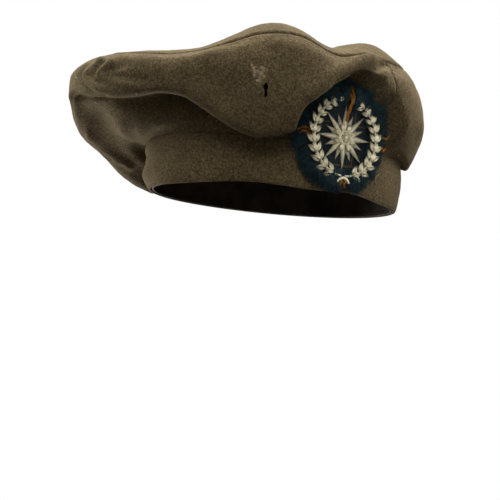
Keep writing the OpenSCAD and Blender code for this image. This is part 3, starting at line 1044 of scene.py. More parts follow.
@dataclass
class Crown:
    """The bonnet's top and its two side halves, of felted cloth rolled in at the seams."""

    drape: Drape
    sight: Sight
    wool: Material
    cloth: float = 2.2
    seam_roll: float = 2.6
    side_roll: float = 0.4
    band_roll: float = 0.8
    seam_az: float = 90.0
    step_az: float = 0.8
    dent_az: tuple[float, float, float] = (38.0, 11.0, 1.6)
    dent_more: float = 1.15
    dent_steps: int = 2000
    rows: int = 96
    top_rows: int = 66
    seam_rows: tuple[int, int] = (60, 40)
    grades: Grades = ((46.0, 1.6), (17.0, 0.7), (6.0, 0.22))
    seed: float = 3.7
    calm_foot: float = 6.0
    calm_seam: float = 3.0
    seen_from: float = -0.05
    seen_over: float = 0.35
    slit_open: float = 1.55
    slit_uneven: float = 0.42
    slit_waist: Pair = (2.5, 0.8)
    slit_fade: float = 9.0
    slit_reach: int = 30
    worn_rows: tuple[range, range] = (range(-8, 9), range(-8, 7))
    worn_cuts: int = 3
    worn_grades: Grades = ((2.4, 1.7), (0.9, 1.5))
    worn_seed: float = 1.3
    worn_most: float = 0.8
    pin_room: float = 0.4
    pin_turn: float = 14.0
    nets: list[Array] = field(default_factory=list)
    lid: Array | None = None

    def build(self) -> list[Piece]:
        """Make the three pieces of cloth.

        Returns:
            The pieces.
        """
        start = self.seam_az - 180
        front = self.side("side_front", start, self.seam_az)
        back = self.side("side_back", self.seam_az, start + 360)
        top = self.top()
        return [front, back, top]

    def seam_out(self, azimuth: Array) -> Array:
        """Find the way out at the crown seam, midway between the side and the top.

        Args:
            azimuth: Where on the seam.

        Returns:
            A unit vector for each azimuth.
        """
        side_rows, top_rows = self.seam_rows
        side = outward(self.drape.side(azimuth, side_rows))[:, -2]
        top = outward(self.drape.top(azimuth, top_rows))[:, 1]
        return unit(side + top)

    def spread(self, first: float, last: float) -> Array:
        """List azimuths, closer together where the badge dents the cloth.

        Args:
            first: The first azimuth.
            last: The last azimuth.

        Returns:
            The azimuths in order.
        """
        fine = np.linspace(first, last, self.dent_steps)
        mid, wide, more = self.dent_az
        run = np.cumsum(1 + more * np.exp(-((fine - mid) / wide) ** 2))
        run = (run - run[0]) / (run[-1] - run[0])
        count = round((last - first) / self.step_az * self.dent_more) + 1
        return np.interp(np.linspace(0, 1, count), run, fine)

    def fold(self, net: Array, share: Array) -> Array:
        """Add the crumple and the fold lines to the side's smooth net.

        Args:
            net: Points of the cloth.
            share: Each point's share of the way up.

        Returns:
            The points, moved, and kept clear of the pin behind the badge.
        """
        normal = outward(net)
        high = crumple(net, self.grades, self.seed)
        pixels = self.sight.project(net)
        seen = ramp((self.sight.facing(net, normal) - self.seen_from) / self.seen_over)
        for line in POUCH_FOLDS + BELLY_FOLDS:
            high += seen * line.lift(pixels, share, self.sight.per_mm)
        net = net + normal * high[..., None]
        r, azimuth = np.hypot(net[..., 0], net[..., 1]), bearing(net)
        short = np.maximum(self.drape.oval_r(azimuth, -self.pin_room) - r, 0)
        net[..., :2] *= (1 + short * self.drape.near_badge(azimuth, self.pin_turn) / r)[..., None]
        return net

    def spots(self) -> Array:
        """List the points of both halves of the side."""
        return np.concatenate([net.reshape(-1, 3) for net in self.nets])

    @staticmethod
    def roll(away: Array, radius: float) -> Array:
        """Tell how far cloth has turned in at a distance from its seam."""
        x = np.clip(1 - away / radius, 0, 1)
        return radius * (1 - np.sqrt(1 - x * x))

    def side(self, node: str, first: float, last: float) -> Piece:
        """Make one half of the side.

        Args:
            node: The CAD node that it stands for.
            first: Azimuth of its first edge.
            last: Azimuth of its last edge.

        Returns:
            The piece.
        """
        azimuth = self.spread(first, last)
        net = self.drape.side(azimuth, self.rows)
        share = np.broadcast_to(np.linspace(0, 1, self.rows), net.shape[:2])
        folded = self.fold(net, share)
        tall = lengths(net)[:, None]
        calm = ramp(share * tall / self.calm_foot) * ramp((1 - share) * tall / self.calm_seam)
        net = net + (folded - net) * calm[..., None]
        normal = outward(net)
        edge = self.roll((1 - share) * tall, self.seam_roll)
        reach = np.radians(np.minimum(azimuth - first, last - azimuth))[:, None]
        sides = self.roll(reach * np.hypot(net[..., 0], net[..., 1]), self.side_roll)
        foot = self.roll(share * tall, self.band_roll)
        net = (net - self.seam_out(azimuth)[:, None] * edge[..., None]
               - normal * np.maximum(sides, foot)[..., None])
        self.nets.append(net)
        bm, grid = lay_sheet(net, layers=("wear",))
        if node == "side_front":
            self.damage(bm, grid, net)
        return make_piece(node + "_cloth", bm, self.wool, node, self.cloth)

    def damage(self, bm: Mesh, grid: dict, net: Array) -> None:
        """Cut a slit and a moth hole, and wear a patch thin.

        Args:
            bm: The front half of the side.
            grid: Its vertices by their place in the net.
            net: The points that it was laid over.
        """
        pixels = self.sight.project(net)
        ends = [self.nearest(pixels, p) for p in SLIT]
        self.slit(bm, grid, net, round((ends[0][0] + ends[1][0]) / 2), sorted(j for _, j in ends))
        i, j = self.nearest(pixels, MOTH_HOLE)
        corner = {grid[i + a, j + b] for a in (0, 1) for b in (0, 1)}
        holes = [f for f in bm.faces if set(f.verts) == corner]
        bmesh.ops.delete(bm, geom=holes, context="FACES_ONLY")
        i, j = self.nearest(pixels, WORN_MIDDLE)
        across, up = self.worn_rows
        self.fray(bm, {grid[i + a, j + b] for a in across for b in up})

    def slit(self, bm: Mesh, grid: dict, net: Array, column: int, rows: list[int]) -> None:
        """Split the cloth along one run of its net, and draw the two edges apart.

        Args:
            bm: The front half of the side.
            grid: Its vertices by their place in the net.
            net: The points that it was laid over.
            column: The run that splits.
            rows: The first and the last point of the slit.
        """
        low, high = rows
        run = [grid[column, j] for j in range(low, high + 1)]
        bmesh.ops.split_edges(bm, edges=[bm.edges.get(pair) for pair in zip(run, run[1:])])
        across = unit(net[column + 1, low] - net[column - 1, low])
        waves, widest = self.slit_waist
        for j in range(low + 1, high):
            share = (j - low) / (high - low)
            part = (self.slit_open * math.sqrt(math.sin(math.pi * share))
                    * (1 + self.slit_uneven * math.cos(waves * math.pi * (share - widest))))
            for i in range(column - self.slit_reach, column + self.slit_reach + 1):
                off = float((net[i, j] - net[column, j]) @ across)
                if i != column:
                    drawn = part * max(1 - abs(off) / self.slit_fade, 0)
                    grid[i, j].co += Vector(across) * math.copysign(drawn * MM, off)
            middle = Vector(net[column, j] * MM)
            for vert in [v for v in bm.verts if (v.co - middle).length < 1e-7]:
                lean = sum((f.calc_center_median() - middle).dot(Vector(across)) for f in vert.link_faces)
                vert.co += Vector(across) * math.copysign(part * MM, lean)

    def fray(self, bm: Mesh, near: set) -> None:
        """Wear the nap off a small ragged place.

        Args:
            bm: The front half of the side.
            near: Vertices round the place, whose edges are cut finer for it.
        """
        fine = [e for e in bm.edges if set(e.verts) <= near and len(e.link_faces) == 2]
        cut = bmesh.ops.subdivide_edges(bm, edges=fine, cuts=self.worn_cuts, use_grid_fill=True)
        spots = [v for v in set(cut["geom_inner"]) | near
                 if isinstance(v, bmesh.types.BMVert) and v.is_valid]
        points = np.array([v.co for v in spots]) / MM
        pixels, ones = self.sight.project(points), np.ones(len(points))
        wear = sum(line.lift(pixels, ones, self.sight.per_mm) for line in WORN)
        ragged = 1 + crumple(points, self.worn_grades, self.worn_seed)
        layer = bm.verts.layers.float["wear"]
        for vert, share in zip(spots, np.clip(wear * ragged, 0, self.worn_most)):
            vert[layer] = float(share)

    @staticmethod
    def nearest(pixels: Array, pixel: Pair) -> tuple[int, int]:
        """Find which point of a net, in the upper half of its runs, falls nearest to a pixel.

        Args:
            pixels: The pixel of each point.
            pixel: The pixel looked for.

        Returns:
            The number of the run and of the point.
        """
        upper = np.arange(pixels.shape[1])[None] > pixels.shape[1] / 2
        away = np.where(upper, np.linalg.norm(pixels - np.array(pixel), axis=-1), np.inf)
        i, j = np.unravel_index(np.argmin(away), away.shape)
        return int(i), int(j)

    def top(self) -> Piece:
        """Make the round top.

        Returns:
            The piece.
        """
        turns = round(360 / self.step_az)
        azimuth = np.arange(turns) * 360 / turns
        net = self.drape.top(azimuth, self.top_rows)
        share = np.broadcast_to(np.linspace(0, 1, self.top_rows), net.shape[:2])
        run = share * lengths(net)[:, None]
        high = crumple(net, self.grades, self.seed) * ramp(run / self.calm_seam)
        net = net + outward(net, True) * high[..., None]
        net[:, -1] = net[:, -1].mean(axis=0)
        edge = self.roll(run, self.seam_roll)
        net = net - self.seam_out(azimuth)[:, None] * edge[..., None]
        self.lid = net
        return make_piece("crown_top_cloth", lay_disc(net), self.wool, "crown_top", self.cloth)


@dataclass
class Band:
    """The doubled cloth headband and the leather sweatband inside it."""

    drape: Drape
    wool: Material
    leather: Material
    thick: float = 3.3
    square: float = 3.6
    points: int = 76
    sweat_out: float = -3.6
    sweat_thick: float = 1.4
    sweat_low: float = 0.6
    sweat_high: float = 27.6
    sweat_square: float = 7.0
    sweat_points: int = 56
    steps: int = 300
    waves: Grades = ((42.0, 1.3), (15.0, 0.5), (6.0, 0.15))
    rim_lift: Waves = ((28, 22, 3.0), (74, 17, 3.2))
    slack: float = 0.3
    limp: Waves = ((-52, 30, 0.7),)
    pinches: tuple[tuple[float, float, float, float, float], ...] = (
        (-48, 12, 22, 4.0, -2.4), (-45, 17, 10, 5.5, 1.7), (-47, 12, 31, 3.5, 1.0), (-30, 14, 17, 5.0, -0.9))
    calm: float = 20.0
    swell: float = 2.6
    swell_low: float = 0.8
    hem: float = 3.0
    neck: float = 0.4

    @staticmethod
    def strip(outer: float, inner: float, low: float, high: float, square: float,
              count: int) -> list[Pair]:
        """Draw an upright strip's section, with rounded edges.

        Args:
            outer: Offset of its outer face.
            inner: Offset of its inner face.
            low: Height of its lower edge.
            high: Height of its upper edge.
            square: How square its edges are, from 2 for an ellipse.
            count: How many points it has.

        Returns:
            Offset and height of each point, round the section.
        """
        points = []
        for k in range(count):
            c, s = math.cos(math.tau * k / count), math.sin(math.tau * k / count)
            x, y = (math.copysign(abs(v) ** (2 / square), v) for v in (c, s))
            points.append(((outer + inner + (outer - inner) * x) / 2, (low + high + (high - low) * y) / 2))
        return points

    def build(self) -> list[Piece]:
        """Make both bands.

        Returns:
            The pieces.
        """
        section = self.strip(0.0, -self.thick, 0.0, self.drape.band_h, self.square, self.points)
        band = make_piece("headband_cloth", self.wear(spin_oval(self.drape, section, self.steps), 1.0),
                          self.wool, "headband")
        section = self.strip(self.sweat_out, self.sweat_out - self.sweat_thick, self.sweat_low,
                             self.sweat_high, self.sweat_square, self.sweat_points)
        sweat = make_piece("sweatband_strip", self.wear(spin_oval(self.drape, section, self.steps), 0.0),
                           self.leather, "sweatband")
        return [band, sweat]

    def settle(self, azimuth: Array, z: Array) -> tuple[Array, Array]:
        """Work out how the bands have settled on the head, away from the badge.

        Args:
            azimuth: Where they are looked at.
            z: The heights there.

        Returns:
            How far out they lean, and how far they ride up.
        """
        up = np.clip(z / self.drape.band_h, 0, 1)
        calm = 1 - self.drape.near_badge(azimuth, self.calm)
        lean = (self.swell * np.sin(np.pi * up ** self.swell_low) - self.hem * (1 - up) ** 2
                - self.neck * up ** 2)
        return (waved(self.slack, self.limp, azimuth) * calm * lean,
                waved(0.0, self.rim_lift, azimuth) * (1 - up) ** 2)

    def wear(self, bm: Mesh, rumpled: float) -> Mesh:
        """Settle a band, and let its outer face wander a little.

        Args:
            bm: The band.
            rumpled: Share of the full wander that it gets.

        Returns:
            The same band.
        """
        spots = np.array([v.co for v in bm.verts]) / MM
        azimuth = bearing(spots)
        r = np.hypot(spots[:, 0], spots[:, 1])
        face = np.clip(1 + (r - self.drape.oval_r(azimuth, 0.0)) / self.thick, 0, 1)
        calm = 1 - self.drape.near_badge(azimuth, self.calm)
        lean, rise = self.settle(azimuth, spots[:, 2])
        lean += (rumpled * face * calm * np.sin(np.pi * np.clip(spots[:, 2] / self.drape.band_h, 0, 1))
                 * crumple(spots, self.waves, 0.0))
        for turn, wide, z, tall, depth in self.pinches:
            lean += rumpled * face * waved(0.0, ((turn, wide, depth),), azimuth) * np.exp(
                -((spots[:, 2] - z) / tall) ** 2)
        for vert, grow, lift in zip(bm.verts, 1 + lean / r, rise):
            vert.co.xy *= grow
            vert.co.z += lift * MM
        return bm


@dataclass
class Lining:
    """The black cotton lining: a slack side and a round top."""

    drape: Drape
    crown: Crown
    cotton: Material
    thick: float = 0.7
    band: float = 3.0
    depth: float = 3.5
    turns: int = 225
    rows: int = 46
    spans: tuple[int, int] = (4, 1)
    foot: float = 0.5
    foot_rise: float = 6.0
    rim_gap: float = 0.6
    seam_gap: float = 1.8
    lid_rows: int = 34
    lid_slack: float = 25.0
    grades: Grades = ((30.0, 0.9), (10.0, 0.45))
    side_seed: float = 9.1
    lid_seed: float = 5.3

    def build(self) -> list[Piece]:
        """Make the two pieces of the lining.

        Returns:
            The pieces.
        """
        azimuth = np.arange(self.turns + 1) * 360 / self.turns
        side = self.span(azimuth)
        loose = 1 - self.drape.near_badge(azimuth, self.crown.pin_turn)[:, None]
        side -= outward(side) * (loose * np.abs(crumple(side, self.grades, self.side_seed)))[..., None]
        side[-1] = side[0]
        bm, _ = lay_sheet(side, closed=True)
        lower = make_piece("lining_side_cloth", bm, self.cotton, "lining_side", self.thick)
        bm = lay_disc(self.cover(side[:-1, -1]))
        upper = make_piece("lining_top_cloth", bm, self.cotton, "lining_top", self.thick)
        return [lower, upper]

    def span(self, azimuth: Array) -> Array:
        """Lay a net for the lining's side, which spans the folds of the cloth from inside.

        Args:
            azimuth: Where its runs are, in even steps of a full turn.

        Returns:
            The net, from the headband up to the crown seam.
        """
        spots = self.crown.spots()
        low = self.drape.band_h
        tall = round((spots[:, 2].max() - low) / self.band) + 1
        inside = np.full((self.turns, tall), np.inf)
        turn = bearing(spots) % 360
        kept = spots[:, 2] > low - self.band
        cell = (np.round(turn / 360 * self.turns).astype(int) % self.turns,
                np.clip(np.round((spots[:, 2] - low) / self.band).astype(int), 0, tall - 1))
        np.minimum.at(inside, (cell[0][kept], cell[1][kept]), np.hypot(*spots[kept, :2].T))
        for axis, reach in enumerate(self.spans):
            steps = range(-reach, reach + 1)
            inside = np.min([np.roll(inside, k, axis=axis) for k in steps], axis=0)
        steps = range(-self.spans[0], self.spans[0] + 1)
        inside = np.mean([np.roll(inside, k, axis=0) for k in steps], axis=0)
        inside = np.concatenate([inside, inside[:1]]) - self.depth
        seam = self.drape.rings(np.arange(360.0))[-1]
        top = np.interp(azimuth, bearing(seam), seam[:, 2], period=360)[:, None]
        top = top - self.seam_gap * self.depth
        level = low - self.foot + np.linspace(0, 1, self.rows) * (top - low + self.foot)
        heights = low + self.band * np.arange(tall)
        r = np.array([np.interp(z, heights, row) for z, row in zip(level, inside)])
        rim = self.drape.oval_r(azimuth, -self.depth - self.rim_gap)[:, None]
        r = rim + (r - rim) * ramp((level - low) / self.foot_rise)
        return turned(r, np.radians(azimuth)[:, None], level)

    def cover(self, edge: Array) -> Array:
        """Lay a net for the lining's top, under the crown's own.

        Args:
            edge: The upper edge of the lining's side, in even steps of a full turn.

        Returns:
            The net, from that edge in to the crown's middle.
        """
        lid = self.crown.lid
        turns = np.arange(self.turns) * len(lid) // self.turns
        rows = np.linspace(0, lid.shape[1] - 1, self.lid_rows).round().astype(int)
        lid, normal = (x[turns][:, rows] for x in (lid, outward(lid, True)))
        net = lid - normal * (self.depth + np.abs(crumple(lid, self.grades, self.lid_seed)))[..., None]
        net[:, -1] = net[:, -1].mean(axis=0)
        run = np.cumsum(np.linalg.norm(np.diff(net, axis=1, prepend=net[:, :1]), axis=2), axis=1)
        meet = np.stack([np.interp(bearing(net[:, 0]), bearing(edge), edge[:, k], period=360)
                         for k in range(3)], axis=-1)
        return net + (meet - net[:, 0])[:, None] * ramp(1 - run / self.lid_slack)[..., None]


@dataclass
class Stitching:
    """Rows of stitches at the seams."""

    drape: Drape
    crown: Crown
    band: Band
    thread: Material
    length: float = 2.6
    every: float = 3.8
    thick: float = 0.55
    crown_sunk: float = 0.7
    side_sunk: float = 0.75
    side_rows: int = 120
    side_kept: tuple[int, int] = (3, -4)
    band_in: float = -2.7
    band_up: float = 0.3
    sweat_in: float = -5.15
    sweat_z: float = 2.85

    def row(self, name: str, path: Array, sink: Array, closed: bool) -> Piece:
        """Make one row of stitches.

        Args:
            name: The seam's name, which its CAD node has too.
            path: Points in millimetres that the row follows.
            sink: How far and which way each point's stitch lies from the path.
            closed: Whether the row runs round to its start.

        Returns:
            The piece.
        """
        path = path + sink
        if closed:
            path = np.concatenate([path, path[:1]])
        run = np.pad(np.cumsum(np.linalg.norm(np.diff(path, axis=0), axis=1)), (1, 0))
        count = int(run[-1] // self.every)
        half, thin = self.length / 2, self.thick / 2 * MM
        grow = Matrix.Diagonal((half * MM, thin, thin, 1.0))
        bm = bmesh.new()
        for k in range(count):
            mid = (k + 0.5) / count * run[-1]
            first, last = (Vector([np.interp(mid + d, run, path[:, i]) for i in range(3)]) * MM
                           for d in (-half, half))
            turn = (last - first).to_track_quat("X", "Z").to_matrix().to_4x4()
            bmesh.ops.create_uvsphere(bm, u_segments=6, v_segments=4, radius=1.0,
                                      matrix=Matrix.Translation((first + last) / 2) @ turn @ grow)
        return make_piece(name + "_stitches", bm, self.thread, name + "_thread")

    def build(self) -> list[Piece]:
        """Make every row.

        Returns:
            The pieces.
        """
        around = np.arange(0, 360, 1.0)
        sink = -self.crown_sunk * self.crown.seam_roll * self.crown.seam_out(around)
        made = [self.row("crown_seam", self.drape.rings(around)[-1], sink, True)]
        for name, az in (("left_seam", self.crown.seam_az), ("right_seam", self.crown.seam_az - 180)):
            net = self.drape.side(az + np.array([-1.0, 0.0, 1.0]), self.side_rows)
            path, out = (x[1, slice(*self.side_kept)] for x in (net, outward(net)))
            made.append(self.row(name, path, -self.side_sunk * self.crown.side_roll * out, False))
        for name, off, level in (("band_seam", self.band_in, self.drape.band_h + self.band_up),
                                 ("sweatband", self.sweat_in, self.sweat_z)):
            lean, rise = self.band.settle(around, np.full(around.shape, level))
            path = self.drape.oval(around, off + lean, level + rise)
            made.append(self.row(name, path, 0 * path, True))
        return made


@dataclass(frozen=True)
class Seat:
    """The badge's own frame on the headband: x to the right, y up and h outwards."""

    drape: Drape

    def frame(self) -> tuple[Array, Array, Array]:
        """Work out where the seat is and how it is turned.

        Returns:
            The origin, the way right and the way out.
        """
        origin = self.drape.oval(np.array(self.drape.badge_az), 0.0, self.drape.badge_z)
        turn = math.atan2(origin[0] / self.drape.half_w ** 2, -origin[1] / self.drape.half_l ** 2)
        return (origin, np.array([math.cos(turn), math.sin(turn), 0]),
                np.array([math.sin(turn), -math.cos(turn), 0]))

    def flat(self, x: Array, y: Array, h: Array) -> Array:
        """Place points of a rigid piece.

        Args:
            x: How far right.
            y: How far up.
            h: How far out.

        Returns:
            The points in millimetres.
        """
        origin, right, out = self.frame()
        x, y, h = np.broadcast_arrays(x, y, h)
        return (origin + x[..., None] * right + h[..., None] * out
                + y[..., None] * np.array([0, 0, 1.0]))

    def bent(self, x: Array, y: Array, h: Array) -> Array:
        """Place points of a limp piece, which follows the headband's curve.

        Args:
            x: How far right.
            y: How far up.
            h: How far out of the headband.

        Returns:
            The points in millimetres.
        """
        base, out = self.flat(x, y, 0 * h), self.frame()[2]
        a, b = self.drape.half_w + h, self.drape.half_l + h
        p = (out[0] / a) ** 2 + (out[1] / b) ** 2
        q = base[..., 0] * out[0] / a ** 2 + base[..., 1] * out[1] / b ** 2
        r = (base[..., 0] / a) ** 2 + (base[..., 1] / b) ** 2 - 1
        reach = (np.sqrt(q * q - p * r) - q) / p
        return base + reach[..., None] * out


@dataclass
class Patch:
    """The frayed woven patch behind the badge, with its fringe and its ochre yarns."""

    seat: Seat
    crown: Crown
    cloth: Material
    fringe: Material
    ochre: Material
    radius: float = 34.5
    tip: float = 43.5
    base: float = 0.7
    thick: float = 1.4
    turns: int = 120
    rows: int = 34
    ragged: tuple[float, int, int, float] = (0.9, 7, 3, 1.0)
    buckled: tuple[float, float, float] = (0.35, 5.0, 6.0)
    weave_from: float = 0.2
    fringe_seed: int = 11
    clumps: int = 170
    clump_lean: float = 0.10
    clump_size: Pair = (0.86, 1.0)
    strands: int = 4000
    strand_thick: float = 0.55
    strand_points: int = 6
    strand_roots: Pair = (22.0, 33.5)
    strand_least: float = 5.0
    strand_lift: Pair = (0.8, 4.6)
    strand_arch: Pair = (0.1, 0.8)
    strand_up: float = 0.3
    strand_down: float = 0.8
    stray_turn: float = 0.04
    stray_tip: float = 1.6
    stray_sway: float = 0.05
    yarn_ends: tuple[tuple[float, float, float, float], ...] = (
        (88, 12.0, 36.5, 2.6), (84, 18.0, 37.5, 1.4), (8, 33.0, 42.0, 1.8), (-4, 33.5, 42.5, 1.8),
        (-93, 29.0, 36.5, 1.7), (-87, 29.5, 35.5, 1.5), (176, 27.0, 38.0, 1.6), (181, 28.0, 37.0, 1.6))
    yarn_seed: int = 5
    yarn_thick: float = 1.2
    yarn_taper: float = 0.7
    yarn_points: int = 14
    yarn_bends: Pair = (2.2, 0.15)
    yarn_up: Pair = (2.2, 1.6)
    plies: int = 3
    ply_turn: Pair = (9.0, 2.1)
    ply_off: Pair = (0.55, 0.5)
    climb: float = 19.0
    feel_r: float = 60.0
    feel_near: float = 2.5
    rim_room: float = 0.8
    ground: kdtree.KDTree | None = None
    heights: Array | None = None

    def build(self) -> list[Piece]:
        """Make the patch and what hangs from it.

        Returns:
            The pieces.
        """
        self.feel()
        angle = np.arange(self.turns) * math.tau / self.turns
        deep, often, seldom, phase = self.ragged
        edge = self.radius + deep * np.sin(often * angle + phase) * np.sin(seldom * angle)
        r = edge[:, None] * np.linspace(1, 0, self.rows)
        x, y = r * np.sin(angle)[:, None], -r * np.cos(angle)[:, None]
        high, wide, tall = self.buckled
        h = self.base + self.thick + high * np.sin(x / wide) * np.cos(y / tall)
        net = np.array([self.lie(*run) for run in zip(x, y, h)])
        net[:, -1] = net[:, -1].mean(axis=0)
        bm = lay_disc(net, self.seat.frame()[2], self.weave_from)
        cloth = make_piece("patch_cloth", bm, self.cloth, "badge_backing", self.thick)
        fringe = make_strands("patch_fringe", self.fringe_runs(), self.strand_thick, self.fringe)
        yarn = make_strands("patch_yarns", self.yarn_runs(), self.yarn_thick, self.ochre,
                            self.yarn_taper)
        return [cloth, fringe, yarn]

    def feel(self) -> None:
        """Find how high the cloth of the crown stands over the headband round the patch."""
        origin, right, _ = self.seat.frame()
        spots = self.crown.spots()
        away = spots - origin
        turn = bearing(spots)
        high = np.hypot(spots[:, 0], spots[:, 1]) - self.seat.drape.oval_r(turn, 0.0)
        near = (np.hypot(away @ right, away[:, 2]) < self.feel_r) & (high < self.climb) & (turn > 0)
        self.ground = kdtree.KDTree(int(near.sum()))
        self.heights = high[near]
        for i, (x, y) in enumerate(zip((away @ right)[near], away[near, 2])):
            self.ground.insert((x, y, 0.0), i)
        self.ground.balance()

    def lie(self, x: Array, y: Array, h: Array) -> Array:
        """Place points of cloth or yarn that lie on the crown's cloth, and stay above the rim.

        Args:
            x: How far right in the badge's frame.
            y: How far up.
            h: How far out of what they lie on.

        Returns:
            The points in millimetres.
        """
        y = np.maximum(y, self.rim_room - self.seat.drape.badge_z)
        rest = np.zeros(len(x))
        for i, spot in enumerate(zip(x, y)):
            near = self.ground.find_range((*spot, 0.0), self.feel_near)
            under = [self.heights[k] for _, k, _ in near]
            rest[i] = max(min(under, default=0.0), 0.0)
        return self.seat.bent(x, y, h + np.convolve(np.pad(rest, 1, "edge"), np.ones(3) / 3, "valid"))

    def fringe_runs(self) -> list[Array]:
        """Comb the fringe outwards in clumps.

        Returns:
            The points in millimetres of each strand.
        """
        draw = random.Random(self.fringe_seed)
        clumps = [(draw.uniform(0, math.tau), draw.gauss(0, self.clump_lean), draw.uniform(*self.clump_size))
                  for _ in range(self.clumps)]
        t = np.linspace(0, 1, self.strand_points)
        first, more = self.strand_arch
        arch = np.sin(math.pi * (first + more * t))
        runs = []
        for _ in range(self.strands):
            start, lean, size = draw.choice(clumps)
            angle = start + draw.gauss(0, self.stray_turn)
            root = draw.uniform(*self.strand_roots)
            tip = self.tip * size - abs(draw.gauss(0, self.stray_tip))
            tip = min(self.tip, max(root + self.strand_least, tip))
            lift = draw.uniform(*self.strand_lift)
            sway = lean + draw.gauss(0, self.stray_sway)
            turn = angle + sway * t ** 2
            r = root + (tip - root) * t
            h = self.base + self.thick + self.strand_up + lift * arch - self.strand_down * t
            runs.append(self.lie(r * np.cos(turn), r * np.sin(turn), h))
        return runs

    def yarn_runs(self) -> list[Array]:
        """Lay the loose ends of ochre yarn over the fringe.

        Returns:
            The points in millimetres of each ply.
        """
        draw = random.Random(self.yarn_seed)
        t = np.linspace(0, 1, self.yarn_points)
        bends, shift = self.yarn_bends
        low, arch = self.yarn_up
        runs = []
        for turn, root, tip, swing in self.yarn_ends:
            for ply in range(self.plies):
                phase = draw.uniform(0, math.tau)
                twist = self.ply_turn[0] * t + ply * self.ply_turn[1]
                r = root + (tip - root) * t
                wave = swing * np.sin(math.pi * t * bends + phase * shift) * t
                wave = wave + self.ply_off[0] * np.sin(twist)
                a = math.radians(turn)
                x = r * math.cos(a) - wave * math.sin(a)
                y = r * math.sin(a) + wave * math.cos(a)
                h = self.base + self.thick + low + arch * np.sin(math.pi * t)
                h = h + self.ply_off[1] * np.cos(twist)
                runs.append(self.lie(x, y, h))
        return runs


def extrude(bm: Mesh, verts: list) -> list:
    """Extrude the faces round some vertices.

    Args:
        bm: The mesh.
        verts: The vertices.

    Returns:
        The new vertices.
    """
    faces = list({f for v in verts for f in v.link_faces})
    made = bmesh.ops.extrude_face_region(bm, geom=faces)["geom"]
    return [g for g in made if isinstance(g, bmesh.types.BMVert)]


def polar(r: float, angle: float) -> Pair:
    """Give the point at a radius and an angle."""
    return r * math.cos(angle), r * math.sin(angle)


